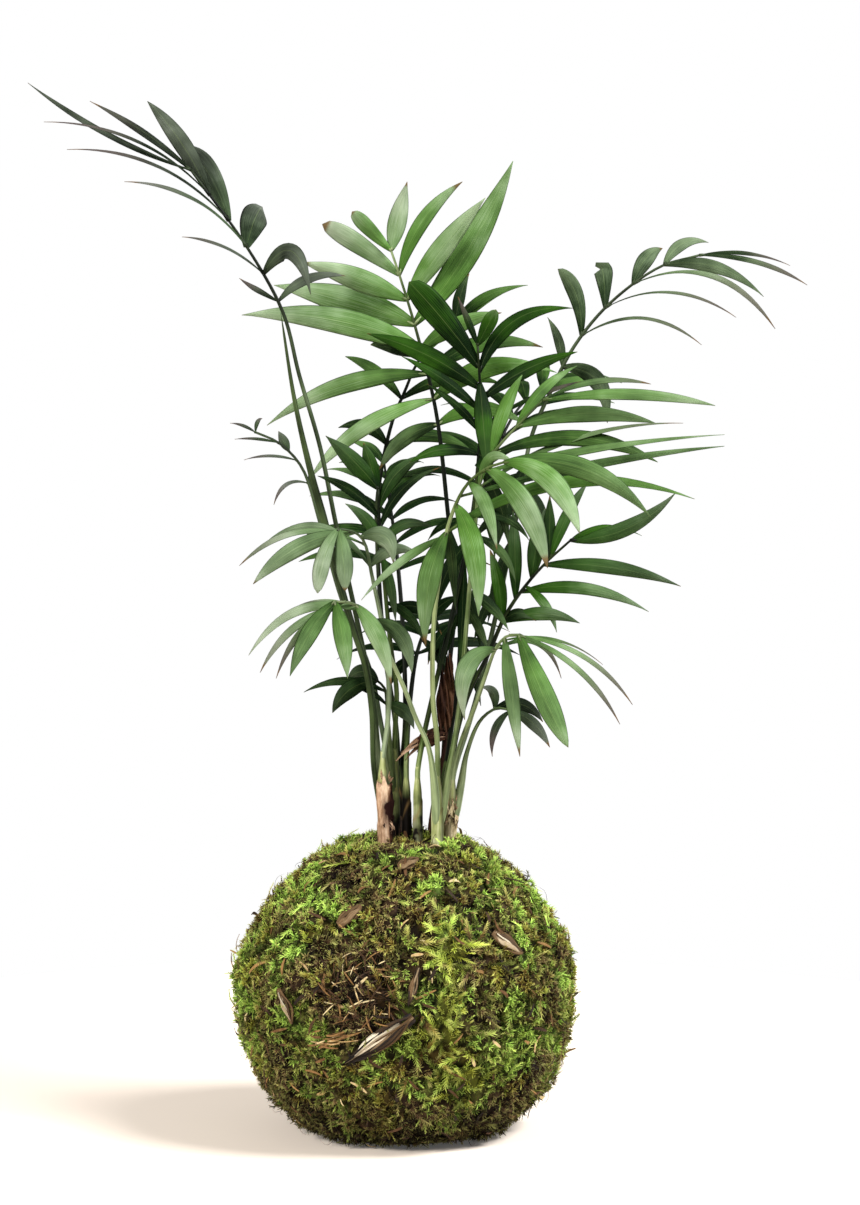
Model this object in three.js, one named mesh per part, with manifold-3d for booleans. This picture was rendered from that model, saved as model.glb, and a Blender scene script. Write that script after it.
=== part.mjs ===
// A kokedama: a young parlour palm whose roots are held in a ball of soil wrapped in living moss.
// Millimetres, +Z up, -Y towards the viewer. The origin is the centre of the flat spot that the ball rests on.
import * as THREE from "three";
import { mergeVertices } from "three/addons/utils/BufferGeometryUtils.js";
import Module from "manifold-3d";

const wasm = await Module();
wasm.setup();

// Driving dimensions
const GAP = 0.3; // clearance between touching pieces
const MOSS_LUMP = 2.2; // how far the moss swells in and out
const BALL_SIDES = 28; // facets round the ball
const OPENING_R = 26; // mouth in the moss where the stems come out
const SOIL_TOP = 127.5;
const STEM_FOOT = 109; // the stems stand this high in the soil
const SOCKET_DEPTH = 10; // how far a frond's stalk goes down into its stem
const CLASP = 22; // a stalk that grows from a stem's side lies along it for this length
const STALK_R = 1.2; // a frond's stalk where it leaves the stem
const RACHIS_R = 0.75; // the same stalk at its tip
const BLADE_THICK = 1.2; // a leaflet at its midrib
const BLADE_FOLD = 0.12; // how far a leaflet's edges fall below its midrib, as a share of its half width

// Half section of the moss outside, as radius and height, and of the hollow that the soil fills
const MOSS_OUTSIDE = [
  [33, 0], [46, 3.5], [55, 11], [62, 20], [66.5, 29], [70, 38], [73.5, 51], [74.5, 61], [74, 70],
  [71, 80.5], [67, 89], [60.5, 98], [54.5, 106], [45, 115], [34, 123.5], [OPENING_R + 1, 127.5],
];
const MOSS_INSIDE = [
  [OPENING_R, 126.5], [OPENING_R, 118], [41, 108], [54, 94], [62.5, 77], [64, 58], [57.5, 33], [46, 17], [32, 10],
];
const MOSS_FLOOR = 9; // moss under the soil
const BALL_MIDDLE = 63;

// Stems: foot and top on the plan, height of the top, radius at foot and top
const STEMS = {
  a: { foot: [-8.3, -8.5], top: [-9.5, -8.5], height: 163, r: [3, 3.1] },
  b: { foot: [-3.8, 3], top: [-4.5, 3], height: 169, r: [1.8, 2.2] },
  c: { foot: [1, -4], top: [0.6, -3], height: 157, r: [2.2, 2.2] },
  d: { foot: [5.6, -11], top: [5.5, -10], height: 157, r: [2.1, 2.4] },
  e: { foot: [14, -10], top: [14.2, -9], height: 156, r: [2.7, 2.9] },
  f: { foot: [18.5, -1], top: [20.8, -1], height: 155, r: [2.8, 2.4] },
  g: { foot: [-1, 14], top: [-3, 16], height: 159, r: [2.4, 2.6] },
  h: { foot: [13, 12], top: [18, 13], height: 160, r: [2.6, 2.8] },
};

// Fronds. path: the stalk above its seat. leafy: length of its leaflet-bearing end.
// clasp: bearing in degrees of the side of the stem that the stalk grows from; without it the stalk stands in the top.
// A leaflet: its tip x, y, z, its width, how far it arches over its chord, and the tilt of its face from upright, in degrees.
const FRONDS = [
  {
    name: "frond_far_left", stem: "a", clasp: 120, leafy: 68,
    path: [[-12.8, -5.5, 184], [-15, -3, 199], [-21, 0, 228], [-30, 4, 269], [-37, 6, 303], [-46, 8, 334], [-53, 8, 361], [-69, 8, 390], [-93, 6, 423]],
    left: [
      [-72, 34, 376, 4.5, 3, 60], [-97, -14, 394, 5.5, 7, 62], [-122, -18, 418, 6, 8, 66],
      [-147, -16, 432, 5, 11, 66], [-157, -12, 444, 4.5, 9, 68], [-164, -4, 461, 6.5, -3, 55],
    ],
    right: [
      [-26, 20, 377, 5.5, 5, 30], [-41, -22, 369, 9, 16, 20], [-62, 62, 408, 12, 6, 0],
      [-96, 48, 433, 11, 5, 0], [-112, 40, 453, 8, 2, 0], [-137, 6, 453, 6, 2, 45],
    ],
  },
  {
    name: "frond_tall_centre", stem: "h", leafy: 76,
    path: [[20, 14, 180], [23, 16, 200], [24, 21, 225], [19, 26, 271], [13.5, 28, 318], [5, 29, 353], [-2.6, 29, 378], [-6, 28, 388]],
    left: [
      [-11, 33, 293, 8, 4, 10], [-42, 27, 288, 9, 12, 30], [-60, 38, 312, 9, 12, 20], [-71, 22, 359, 13.5, 4, 8],
      [-57, 42, 373, 14, 2, 0], [-45, 20, 383, 11, 1, 5], [-36, 36, 401, 10, 1, 0], [-23, 24, 405, 6, 0, 0],
    ],
    right: [
      [54, 40, 314, 8, 10, 30], [66, 8, 335, 11, 9, 20], [60, 44, 346, 9, 8, 20], [42, 24, 361, 9, 3, 10],
      [47, 36, 427, 13.5, -2, 0], [35, 18, 411, 10, 3, 0], [25, 34, 418, 7.5, 6, 0], [1, 30, 418, 9, 2, 0],
    ],
  },
  {
    name: "frond_dark_centre", stem: "d", leafy: 48,
    path: [[8, -6, 176], [12, -2, 194], [22, 4, 236], [29, 6, 271], [32, 5, 298], [33, 3, 319], [31.6, 0, 347]],
    left: [
      [2, -14, 296, 7, 4, 30], [9.6, 6, 330, 5, 2, 40], [-1.3, -8, 342, 6, 2, 25],
      [-16.5, 4, 352, 9.5, 3, 5], [1.7, -4, 374.5, 13.5, 1, 0], [23, 2, 368, 3.5, 0, 0],
    ],
    right: [
      [36, -12, 289, 9.5, 3, 0], [79, 1, 331.5, 4, 3, 60], [75, -6, 344, 8, 10, 35],
      [73, 10, 363, 7, 3, 20], [39.6, -6, 362.4, 7.5, 0, 0],
    ],
  },
  {
    name: "frond_right_arching", stem: "f", clasp: 100, leafy: 80,
    path: [[26.5, 5, 178], [32, 8, 197], [41, 13, 236], [49, 15, 275], [55, 16, 307], [64, 16, 328], [74, 15, 347], [89, 14, 365], [111, 9, 381], [128, 5, 386]],
    left: [
      [62, 26, 359, 5, 3, 20], [66.5, 30, 380, 7.5, 3, 0], [83, 44, 383, 9, 8, 0],
      [112, 40, 389, 8, 4, 10], [132, 30, 391.5, 6.5, 5, 30], [167.5, 12, 381.5, 4, 6, 60],
    ],
    right: [
      [88, 2, 313, 9, 9, 5], [129, -22, 347, 5, 10, 62], [144, -30, 359, 4, 9, 68],
      [161, -24, 354, 5, 14, 62], [156, -12, 368, 7, 6, 20], [175, -2, 373, 4.5, 4, 50],
    ],
  },
  {
    name: "frond_right_middle", stem: "e", clasp: 15, leafy: 48,
    path: [[22, -9.5, 178], [24, -10, 193], [27, -14, 228], [30, -17, 262], [34, -20, 293], [40, -22, 302], [51, -24, 314], [60, -25, 323]],
    left: [[48, -36, 295, 5, 9, 10], [51, -18, 334, 7, 2, 0], [75, 2, 338, 6, 4, 30], [107, -12, 330, 4.5, 5, 55]],
    right: [[121, -30, 313, 4, 4, 65], [110, -28, 296, 8.5, 9, 25], [109, -20, 313, 8.5, 5, 20], [135, -26, 320.6, 6.5, 8, 35]],
  },
  {
    name: "frond_front", stem: "e", leafy: 56,
    path: [[14, -9.5, 175], [12.2, -12, 193], [12.6, -19, 227], [15.7, -24, 251], [19, -30, 269], [26, -40, 285], [35, -52, 293], [43, -64, 296]],
    left: [[9, -48, 216, 11, 8, 10], [32, -62, 229, 11, 9, 0], [40, -90, 258, 7, 6, 10], [62, -88, 250, 11, 8, 0], [76, -92, 265, 11, 9, 8]],
    right: [[126, -50, 280, 7, 7, 30], [139, -56, 303, 5.5, 3, 45], [139, -66, 308, 5.5, 3, 45], [107, -74, 272, 10, 9, 12]],
  },
  {
    name: "frond_right_low", stem: "h", clasp: -60, leafy: 48,
    path: [[23, 8, 180], [28, 6, 196], [36, 4, 212], [44, 1, 230], [53, -2, 243], [62, -5, 253], [72, -7, 262]],
    left: [[37, 8, 258, 7, 2, 10], [47, 6, 275, 7, 2, 0], [61, 4, 276, 8.5, 1, 0], [80, 6, 288, 6, 2, 20], [103, 2, 264, 5, 5, 50]],
    right: [[76, -20, 226, 7, 4, 20], [106, -16, 231, 7, 6, 25], [120, -14, 242, 7.5, 7, 20], [118, -4, 283, 8, -3, 5]],
  },
  {
    name: "frond_front_right", stem: "f", leafy: 28,
    path: [[24, -2, 173], [31, -14, 190], [37, -22, 204], [43, -29, 215], [48, -36, 220.5], [52, -41, 221]],
    left: [[26, -46, 184, 9.5, 8, 5], [51, -58, 168, 7.5, 4, 0], [71, -66, 172, 11, 3, 0]],
    right: [[68, -16, 202, 4, 10, 40], [86, -20, 208, 3.5, 6, 60], [99, -34, 190.5, 4.5, 10, 50], [93.5, -46, 182, 5, 9, 45]],
  },
  {
    name: "frond_small_right", stem: "f", clasp: 10, leafy: 14,
    path: [[27, -3, 170], [33, -7, 184], [40, -9, 189], [46, -12, 188]],
    left: [[33, -14, 198, 5, 4, 20], [38, -18, 168, 4, 4, 0]],
    right: [[60, -12, 183, 6.5, 5, 20], [63, -22, 172, 6, 3, 10]],
  },
  {
    name: "frond_left_fan", stem: "a", leafy: 30,
    path: [[-7.6, -8.5, 182], [-7, -10, 198], [-9, -14, 220], [-14, -19, 245], [-18, -25, 262], [-23, -31, 266], [-29, -37, 267]],
    left: [[-66, -30, 255.5, 5.5, 10, 45], [-72, -44, 251, 4.5, 6, 50], [-66, -52, 243, 8.5, 5, 15], [-38, -56, 239, 8, 4, 0]],
    right: [[6, -26, 256, 7, 5, 30], [-5, -34, 252, 9.5, 7, 10], [-26, -50, 240, 9, 3, 0]],
  },
  {
    name: "frond_low_left", stem: "e", clasp: 250, leafy: 32,
    path: [[10, -16, 173], [5, -18, 184], [0, -20, 197], [-5, -23, 208], [-12, -28, 224], [-17, -33, 231], [-24, -39, 235], [-30.5, -45, 235.3]],
    left: [
      [-54, -38, 229, 3.5, 5, 60], [-68, -50, 212, 5.5, 9, 40], [-63, -56, 204.5, 4.5, 8, 40],
      [-56, -60, 202, 4, 6, 40], [-50, -64, 203, 8.5, 3, 0],
    ],
    right: [[3, -48, 204.5, 8, 7, 10], [-6, -54, 199.5, 9, 4, 0], [-25, -60, 202, 9, 2, 0]],
  },
  {
    name: "frond_small_left", stem: "b", clasp: 225, leafy: 12,
    path: [[-7.5, 0, 184], [-8, 1, 193], [-9, 1.5, 198], [-12, 2, 201]],
    left: [[-31, 8, 200.5, 4, 3, 50], [-44, 2, 196, 5, 5, 40], [-31.5, -4, 187, 8.5, 4, 0]],
    right: [[4, -6, 180, 7, 3, 0], [-25, 12, 201, 7, 4, 10]],
  },
  {
    name: "frond_thin_left", stem: "g", clasp: 180, leafy: 34,
    path: [[-10, 17, 180], [-15, 20, 205], [-28, 19, 238], [-37, 18, 270], [-45, 16, 294], [-55, 14, 304.5], [-65, 12, 309]],
    left: [[-57, 8, 277.5, 3, 5, 30], [-70, 6, 297, 2.5, 2, 30], [-74, 4, 306, 2.5, 1, 30], [-76, 10, 313, 2.5, 1, 30]],
    right: [[-39, 24, 289, 3, 3, 20], [-55, 20, 309.5, 5, 0, 0], [-62, 18, 315, 3, 2, 0]],
  },
  {
    name: "frond_mid_left", stem: "b", leafy: 26,
    path: [[-4, 2.5, 185], [-3.6, 1, 196], [-6.5, -3, 219], [-9, -5, 245], [-10.7, -7, 265], [-11.7, -8, 284.5]],
    left: [[-26, -14, 278, 6.5, 3, 20], [-38, -4, 290, 5.5, 3, 30], [-34.5, -12, 307.5, 9, 1, 0]],
    right: [[12, -2, 268, 6, 6, 20], [15, -14, 293.6, 5, 5, 30], [8, -4, 299, 7, 4, 20], [-18, -8, 304.5, 7.5, 0, 0]],
  },
  {
    name: "frond_back_left", stem: "g", leafy: 64,
    path: [[-4, 17, 182], [-9, 24, 215], [-12, 34, 260], [-12, 38, 280], [-6, 41, 312], [0, 43, 327], [6.5, 45, 341], [22, 48, 357]],
    left: [[-29, 40, 311, 7, 5, 10], [-26, 56, 342, 6, 3, 20], [-15, 62, 347, 10, 2, 0], [28, 58, 378, 6, 2, 10]],
    right: [[30, 58, 300, 7, 6, 20], [42, 56, 330, 7, 6, 20], [42, 60, 369, 6, 3, 30], [53.5, 54, 373, 6, 4, 30]],
  },
];

// Fronds at the back, whose leaflets follow a rule. side: the way that their right-hand leaflets point.
const BACK_FRONDS = [
  {
    name: "frond_back_centre", stem: "g", clasp: 60, leafy: 66, side: [1, 0, 0], pairs: 6, reach: 50,
    path: [[0, 22, 180], [-1, 32, 215], [-4, 48, 250], [-8, 70, 276], [-10, 90, 288]],
  },
  {
    name: "frond_back_right", stem: "h", clasp: 100, leafy: 66, side: [0.95, -0.3, 0], pairs: 6, reach: 58,
    path: [[18, 20, 185], [24, 38, 235], [37, 60, 285], [50, 80, 312], [62, 96, 322]],
  },
  {
    name: "frond_back_low", stem: "c", leafy: 40, side: [1, 0, 0], pairs: 4, reach: 44,
    path: [[1, 0, 172], [2, 10, 186], [5, 32, 206], [10, 52, 218], [14, 68, 220]],
  },
];

// The rolled new leaf beside the far left frond
const SPEAR = {
  stem: "a", clasp: 180, r: [1.1, 1.7, 0.4],
  path: [[-14.5, -9, 188], [-17.5, -8, 208], [-22, -6, 222], [-29, -3, 246], [-35, -2, 270], [-41, -2, 292], [-48, -2, 323], [-54, -2, 361]],
};

// Dead leaf among the stems: its stalk from the soil, and its two shrivelled leaflets as tip, width, arch and tilt
const DRY_LEAF = {
  path: [[10.5, 3, 113], [10.5, 3, 128], [13, 3, 147], [17, 2.5, 167], [18, 2, 175]],
  leaflets: [[18.5, 4, 210, 6, 0, 0], [-4, -12, 164, 5.5, 3, 20]],
};

// Dry leaf bases that hug a stem: heights and the bearings of their two edges in degrees
const SHEATHS = [
  { name: "dry_sheath_left", stem: "a", from: 128.5, to: 158, arc: [-140, -10] },
  { name: "dry_sheath_right", stem: "f", from: 128.5, to: 147, arc: [-165, -35] },
];

// Flakes of bark and dry leaf on the front of the ball: both ends as x and height in the same view, and the width
const FLAKES = [
  { name: "flake_low", ends: [[3.4, 55.3], [-23.4, 36.6]], width: 7 },
  { name: "flake_upright", ends: [[5.7, 76.3], [1.6, 60]], width: 3.6 },
  { name: "flake_left", ends: [[-53.7, 67], [-48.4, 52]], width: 3.4 },
  { name: "flake_right", ends: [[38.4, 92], [50, 82]], width: 4.2 },
  { name: "flake_high", ends: [[-29.2, 95], [-18.7, 103]], width: 5 },
  { name: "flake_crown", ends: [[-3, 118], [6, 122]], width: 4 },
];

// Small seeded generator, so that each build draws the same numbers
function makeRandom(seed) {
  let state = seed;
  return () => {
    state = (state * 16807) % 2147483647;
    return state / 2147483647;
  };
}

const vec = (p) => new THREE.Vector3(...p);

// The frond points are given as they look from the front, across a plane through the ball's axis.
// This puts a point at its own depth y, on the line of sight of an eye VIEW_RISE above level.
const VIEW_RISE = THREE.MathUtils.degToRad(5);
const VIEW_REACH = 1700; // from the eye to the middle of the plant
const VIEW_MIDDLE = new THREE.Vector3(10.9, 0, 232);
const VIEW_ZERO = -3; // height of the plane's zero line
function inDepth([x, y, z]) {
  const eye = VIEW_MIDDLE.clone();
  eye.add(new THREE.Vector3(0, -Math.cos(VIEW_RISE), Math.sin(VIEW_RISE)).multiplyScalar(VIEW_REACH));
  const rise = z + VIEW_ZERO - VIEW_MIDDLE.z;
  const seen = new THREE.Vector3(x, rise * Math.sin(VIEW_RISE), VIEW_MIDDLE.z + rise * Math.cos(VIEW_RISE));
  const sight = seen.sub(eye);
  return eye.addScaledVector(sight, (y - eye.y) / sight.y);
}
const UP = new THREE.Vector3(0, 0, 1);

function toSolid(geometry) {
  const plain = geometry.clone();
  plain.deleteAttribute("normal");
  plain.deleteAttribute("uv");
  const merged = mergeVertices(plain, 1e-4);
  const made = new wasm.Manifold(
    new wasm.Mesh({
      numProp: 3,
      vertProperties: merged.attributes.position.array,
      triVerts: new Uint32Array(merged.index.array),
    }),
  );
  return made;
}

function toGeometry(solid) {
  const mesh = solid.getMesh();
  const geometry = new THREE.BufferGeometry();
  geometry.setAttribute("position", new THREE.BufferAttribute(mesh.vertProperties, 3));
  geometry.setIndex(new THREE.BufferAttribute(mesh.triVerts, 1));
  return geometry;
}

// The largest body of a solid: what a cut leaves loose is dropped
function mainBody(solid) {
  return solid.decompose().sort((p, q) => q.volume() - p.volume())[0];
}

// A closed geometry from its points and triangles
function closedGeometry(points, triangles) {
  const geometry = new THREE.BufferGeometry().setFromPoints(points);
  geometry.setIndex(triangles);
  return geometry;
}

// A round rod along a smooth curve; radius gives its radius at each share of its length
function rod(path, radius, sides, steps) {
  const curve = new THREE.CatmullRomCurve3(path, false, "centripetal");
  const frames = curve.computeFrenetFrames(steps, false);
  const points = [curve.getPointAt(0)];
  const triangles = [];
  for (let i = 0; i <= steps; i++) {
    const centre = curve.getPointAt(i / steps);
    const r = radius(i / steps);
    for (let k = 0; k < sides; k++) {
      const angle = (2 * Math.PI * k) / sides;
      const out = frames.normals[i].clone().multiplyScalar(Math.cos(angle) * r);
      out.addScaledVector(frames.binormals[i], Math.sin(angle) * r);
      points.push(out.add(centre));
    }
  }
  points.push(curve.getPointAt(1));
  const at = (i, k) => 1 + i * sides + (k % sides);
  const last = points.length - 1;
  for (let k = 0; k < sides; k++) {
    triangles.push(0, at(0, k + 1), at(0, k), last, at(steps, k), at(steps, k + 1));
    for (let i = 0; i < steps; i++) {
      triangles.push(at(i, k), at(i, k + 1), at(i + 1, k + 1), at(i, k), at(i + 1, k + 1), at(i + 1, k));
    }
  }
  return closedGeometry(points, triangles);
}

// A radius that changes evenly from one end to the other
const taper = (start, end) => (u) => start + (end - start) * u;

// The space that a rod needs: the same rod grown by a clearance, also at its foot
const GROW = 0.38; // leaves GAP at the middle of a facet
function roomFor(path, radius, sides, steps) {
  const lower = path.map((p) => p.clone());
  lower[0].z -= GAP;
  return toSolid(rod(lower, (u) => radius(u) + GROW, sides, steps));
}

// Half width of a leaflet along its length, as a share of its widest: narrow root, widest before the middle, long point
function bladeOutline(u) {
  const WIDEST = 0.4;
  const ROOT = 0.3;
  if (u < WIDEST) return ROOT + (1 - ROOT) * Math.sin((Math.PI / 2) * (u / WIDEST));
  return Math.cos((Math.PI / 2) * ((u - WIDEST) / (1 - WIDEST))) ** 0.8;
}

// A leaflet from its root to its tip, arching by bow over its chord, its face tilted by tilt degrees from upright
function blade(root, tip, width, bow, tilt) {
  const TIP_HALF = 0.35;
  const chord = tip.clone().sub(root);
  const stations = chord.length() > 45 ? [0, 0.18, 0.42, 0.72, 1] : [0, 0.25, 0.6, 1];
  const along = chord.clone().normalize();
  const lift = UP.clone().addScaledVector(along, -UP.dot(along)).normalize().multiplyScalar((bow * 4) / 3);
  const middle = new THREE.CubicBezierCurve3(
    root,
    root.clone().addScaledVector(chord, 1 / 3).add(lift),
    root.clone().addScaledVector(chord, 2 / 3).add(lift),
    tip,
  );
  const a = THREE.MathUtils.degToRad(tilt);
  const facing = new THREE.Vector3(0, -Math.cos(a), Math.sin(a));
  const points = [];
  const triangles = [];
  for (const u of stations) {
    const centre = middle.getPoint(u);
    const across = middle.getTangent(u).cross(facing).normalize();
    const normal = across.clone().cross(middle.getTangent(u)).normalize();
    const half = Math.max(TIP_HALF, (width / 2) * bladeOutline(u));
    const thick = (BLADE_THICK / 2) * (1 - u / 2);
    const fall = -BLADE_FOLD * half;
    points.push(
      centre.clone().addScaledVector(across, -half).addScaledVector(normal, fall),
      centre.clone().addScaledVector(normal, thick),
      centre.clone().addScaledVector(across, half).addScaledVector(normal, fall),
      centre.clone().addScaledVector(normal, -thick),
    );
  }
  const [L, T, R, B] = [0, 1, 2, 3];
  const panels = [[L, T], [R, T], [R, B], [L, B]]; // each from an edge to the midrib, so both faces split alike
  const flipped = [true, false, true, false];
  for (let i = 0; i + 1 < stations.length; i++) {
    const [p, q] = [4 * i, 4 * (i + 1)];
    panels.forEach(([edge, rib], n) => {
      const split = [p + edge, q + edge, q + rib, p + edge, q + rib, p + rib];
      triangles.push(...(flipped[n] ? split.reverse() : split));
    });
  }
  const end = points.length - 4;
  triangles.push(L, R, T, L, B, R, end + L, end + T, end + R, end + L, end + R, end + B);
  return closedGeometry(points, triangles);
}

// The middle of a stem at a height
function stemAxis({ foot, top, height }, z) {
  const share = (z - STEM_FOOT) / (height - STEM_FOOT);
  return new THREE.Vector3(foot[0] + (top[0] - foot[0]) * share, foot[1] + (top[1] - foot[1]) * share, z);
}

// Where a stalk meets its stem: down in its top, or along its side when the stalk clasps it
function seatPoints({ stem, clasp }) {
  const from = STEMS[stem];
  if (clasp === undefined) {
    return [-SOCKET_DEPTH, -2, 2].map((rise) => stemAxis(from, from.height + rise));
  }
  const angle = THREE.MathUtils.degToRad(clasp);
  const away = Math.max(...from.r) + GAP + STALK_R;
  return [-CLASP, -2].map((rise) => {
    const point = stemAxis(from, from.height + rise);
    return point.add(new THREE.Vector3(away * Math.cos(angle), away * Math.sin(angle), 0));
  });
}

function stalkPath(frond) {
  return [...seatPoints(frond), ...frond.path.map(frond.side ? vec : inDepth)];
}

// A stalk is full where it stands in its stem, and starts from a point where it clasps the side
function stalkRadius(frond) {
  const even = taper(STALK_R, RACHIS_R);
  return (u) => (frond.clasp === undefined ? even(u) : Math.min(even(u), 0.5 + 12 * u));
}

// Leaflet tips of a back frond: pairs that shorten to the tip, spread sideways and droop
function ruledLeaflets(frond, sign, random) {
  const side = vec(frond.side).multiplyScalar(sign);
  const curve = new THREE.CatmullRomCurve3(stalkPath(frond), false, "centripetal");
  const start = 1 - frond.leafy / curve.getLength();
  const tips = [];
  for (let i = 0; i < frond.pairs; i++) {
    const share = i / (frond.pairs - 1);
    const u = start + (1 - start) * share;
    const length = frond.reach * (1 - 0.35 * share) * (0.92 + 0.16 * random());
    const swing = 0.35 + 0.75 * share;
    const tip = curve.getPointAt(u).addScaledVector(side, length * Math.cos(swing));
    tip.addScaledVector(curve.getTangentAt(u), length * Math.sin(swing));
    tip.z -= length * (0.15 + 0.2 * random());
    tips.push([...tip, 7 + 2.5 * random(), length * 0.14, 65]);
  }
  return tips;
}

// Points along the leafy end of a stalk where its leaflets root
function leafletRoots(curve, leafy, count) {
  const start = 1 - leafy / curve.getLength();
  return Array.from({ length: count }, (_, i) => curve.getPointAt(start + (1 - start) * (i / (count - 1))));
}

// The stalk's path, radius, sides and steps, for the stalk and for its seat in the stem
function stalkShape(frond) {
  const path = stalkPath(frond);
  const length = new THREE.CatmullRomCurve3(path, false, "centripetal").getLength();
  return [path, stalkRadius(frond), 5, Math.max(6, Math.round(length / 20))];
}

function frondSolid(frond) {
  const curve = new THREE.CatmullRomCurve3(stalkPath(frond), false, "centripetal");
  const pieces = [toSolid(rod(...stalkShape(frond)))];
  for (const tips of [frond.left, frond.right]) {
    const roots = leafletRoots(curve, frond.leafy, tips.length);
    tips.forEach(([x, y, z, ...form], i) => {
      const tip = frond.side ? vec([x, y, z]) : inDepth([x, y, z]);
      pieces.push(toSolid(blade(roots[i], tip, ...form)));
    });
  }
  return mainBody(wasm.Manifold.union(pieces));
}

// Path, radius, sides and steps of a stem
function stemShape(stem) {
  return [[stemAxis(stem, STEM_FOOT), stemAxis(stem, stem.height)], taper(...stem.r), 10, 2];
}

function stemSolid(key, fronds) {
  const seated = fronds.filter((frond) => frond.stem === key && frond.clasp === undefined);
  const seats = seated.map((frond) => roomFor(...stalkShape(frond)));
  return mainBody(wasm.Manifold.difference([toSolid(rod(...stemShape(STEMS[key]))), ...seats]));
}

function spearSolid() {
  const [low, middle, tip] = SPEAR.r;
  const radius = (u) => (u < 0.6 ? taper(low, middle)(u / 0.6) : taper(middle, tip)((u - 0.6) / 0.4));
  return toSolid(rod(stalkPath(SPEAR), radius, 6, 12));
}

const dryStalk = () => [DRY_LEAF.path.map(vec), taper(1.1, 1), 6, 5];

function dryLeafSolid() {
  const top = vec(DRY_LEAF.path[DRY_LEAF.path.length - 1]);
  const root = top.clone().setZ(top.z - 2);
  const leaflets = DRY_LEAF.leaflets.map(([x, y, z, ...form]) => toSolid(blade(root, vec([x, y, z]), ...form)));
  return mainBody(wasm.Manifold.union([toSolid(rod(...dryStalk())), ...leaflets]));
}

// A closed plate between an inner and an outer grid of points, each grid[i][k]
function plate(inner, outer) {
  const rows = inner.length;
  const cols = inner[0].length;
  const points = [...inner.flat(), ...outer.flat()];
  const at = (side, i, k) => side * rows * cols + i * cols + k;
  const triangles = [];
  const quad = (a, b, c, d) => triangles.push(a, b, c, a, c, d);
  for (let i = 0; i + 1 < rows; i++) {
    for (let k = 0; k + 1 < cols; k++) {
      quad(at(0, i, k), at(0, i + 1, k), at(0, i + 1, k + 1), at(0, i, k + 1));
      quad(at(1, i, k), at(1, i, k + 1), at(1, i + 1, k + 1), at(1, i + 1, k));
    }
    quad(at(0, i, 0), at(1, i, 0), at(1, i + 1, 0), at(0, i + 1, 0));
    quad(at(0, i, cols - 1), at(0, i + 1, cols - 1), at(1, i + 1, cols - 1), at(1, i, cols - 1));
  }
  for (let k = 0; k + 1 < cols; k++) {
    quad(at(0, 0, k), at(0, 0, k + 1), at(1, 0, k + 1), at(1, 0, k));
    quad(at(0, rows - 1, k), at(1, rows - 1, k), at(1, rows - 1, k + 1), at(0, rows - 1, k + 1));
  }
  const made = toSolid(closedGeometry(points, triangles));
  if (made.volume() > 0) return made;
  for (let t = 0; t < triangles.length; t += 3) [triangles[t], triangles[t + 1]] = [triangles[t + 1], triangles[t]];
  return toSolid(closedGeometry(points, triangles));
}

// A dry leaf base: a curved plate round part of a stem, its top edge drawn up to a point
function sheathSolid({ stem, from, to, arc }) {
  const THICK = 0.8;
  const CLEAR = 0.55;
  const COLS = 7;
  const ROWS = 4;
  const shaft = STEMS[stem];
  const grid = (extra) =>
    Array.from({ length: ROWS }, (_, i) =>
      Array.from({ length: COLS }, (_, k) => {
        const across = k / (COLS - 1);
        const share = i / (ROWS - 1);
        const top = to - 9 * Math.abs(2 * across - 1);
        const z = from + (top - from) * share;
        const angle = THREE.MathUtils.degToRad(arc[0] + (arc[1] - arc[0]) * across);
        const away = Math.max(...shaft.r) + extra + 0.7 * share * share;
        return stemAxis(shaft, z).add(new THREE.Vector3(away * Math.cos(angle), away * Math.sin(angle), 0));
      }),
    );
  return plate(grid(CLEAR), grid(CLEAR + THICK));
}

// A turned body from a half section that starts and ends on the axis
function turned(profile) {
  return new THREE.LatheGeometry(profile.map(([r, z]) => new THREE.Vector2(r, z)), BALL_SIDES).rotateX(Math.PI / 2);
}

// How far the moss stands out or in at a point on the ball, in lumps about 25 mm across
function mossLump(x, y, z) {
  const wave = Math.sin(x / 9 + 1.3) * Math.cos(y / 8 - 0.4) + Math.sin(z / 7 + x / 13) * Math.cos(y / 15 + z / 21);
  return (MOSS_LUMP * wave) / 2;
}

const mossSkin = new THREE.SplineCurve(MOSS_OUTSIDE.map((p) => new THREE.Vector2(...p))).getSpacedPoints(15);

function swollen(point) {
  const outward = new THREE.Vector3(point.x, point.y, point.z - BALL_MIDDLE).normalize();
  return point.clone().addScaledVector(outward, mossLump(point.x, point.y, point.z));
}

function mossSolid() {
  const skin = mossSkin.map((p) => [p.x, p.y]);
  const geometry = turned([[0, 0], ...skin, ...MOSS_INSIDE, [0, MOSS_FLOOR]]);
  const position = geometry.attributes.position;
  const perTurn = skin.length + MOSS_INSIDE.length + 2;
  for (let i = 0; i < position.count; i++) {
    const row = i % perTurn;
    if (row < 2 || row >= skin.length) continue; // the flat spot, the mouth and the hollow stay as they are
    const point = swollen(new THREE.Vector3().fromBufferAttribute(position, i));
    position.setXYZ(i, point.x, point.y, Math.max(point.z, 0.6));
  }
  return toSolid(geometry);
}

// A point on the front of the ball at an x and a height, lifted off the moss
function onMoss(x, z, lift) {
  const above = Math.max(1, mossSkin.findIndex((p) => p.y >= z));
  const [p, q] = [mossSkin[above - 1], mossSkin[above]];
  const r = p.x + ((q.x - p.x) * (z - p.y)) / (q.y - p.y);
  const point = swollen(new THREE.Vector3(x, -Math.sqrt(r * r - x * x), z));
  return point.addScaledVector(new THREE.Vector3(point.x, point.y, point.z - BALL_MIDDLE).normalize(), lift);
}

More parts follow.
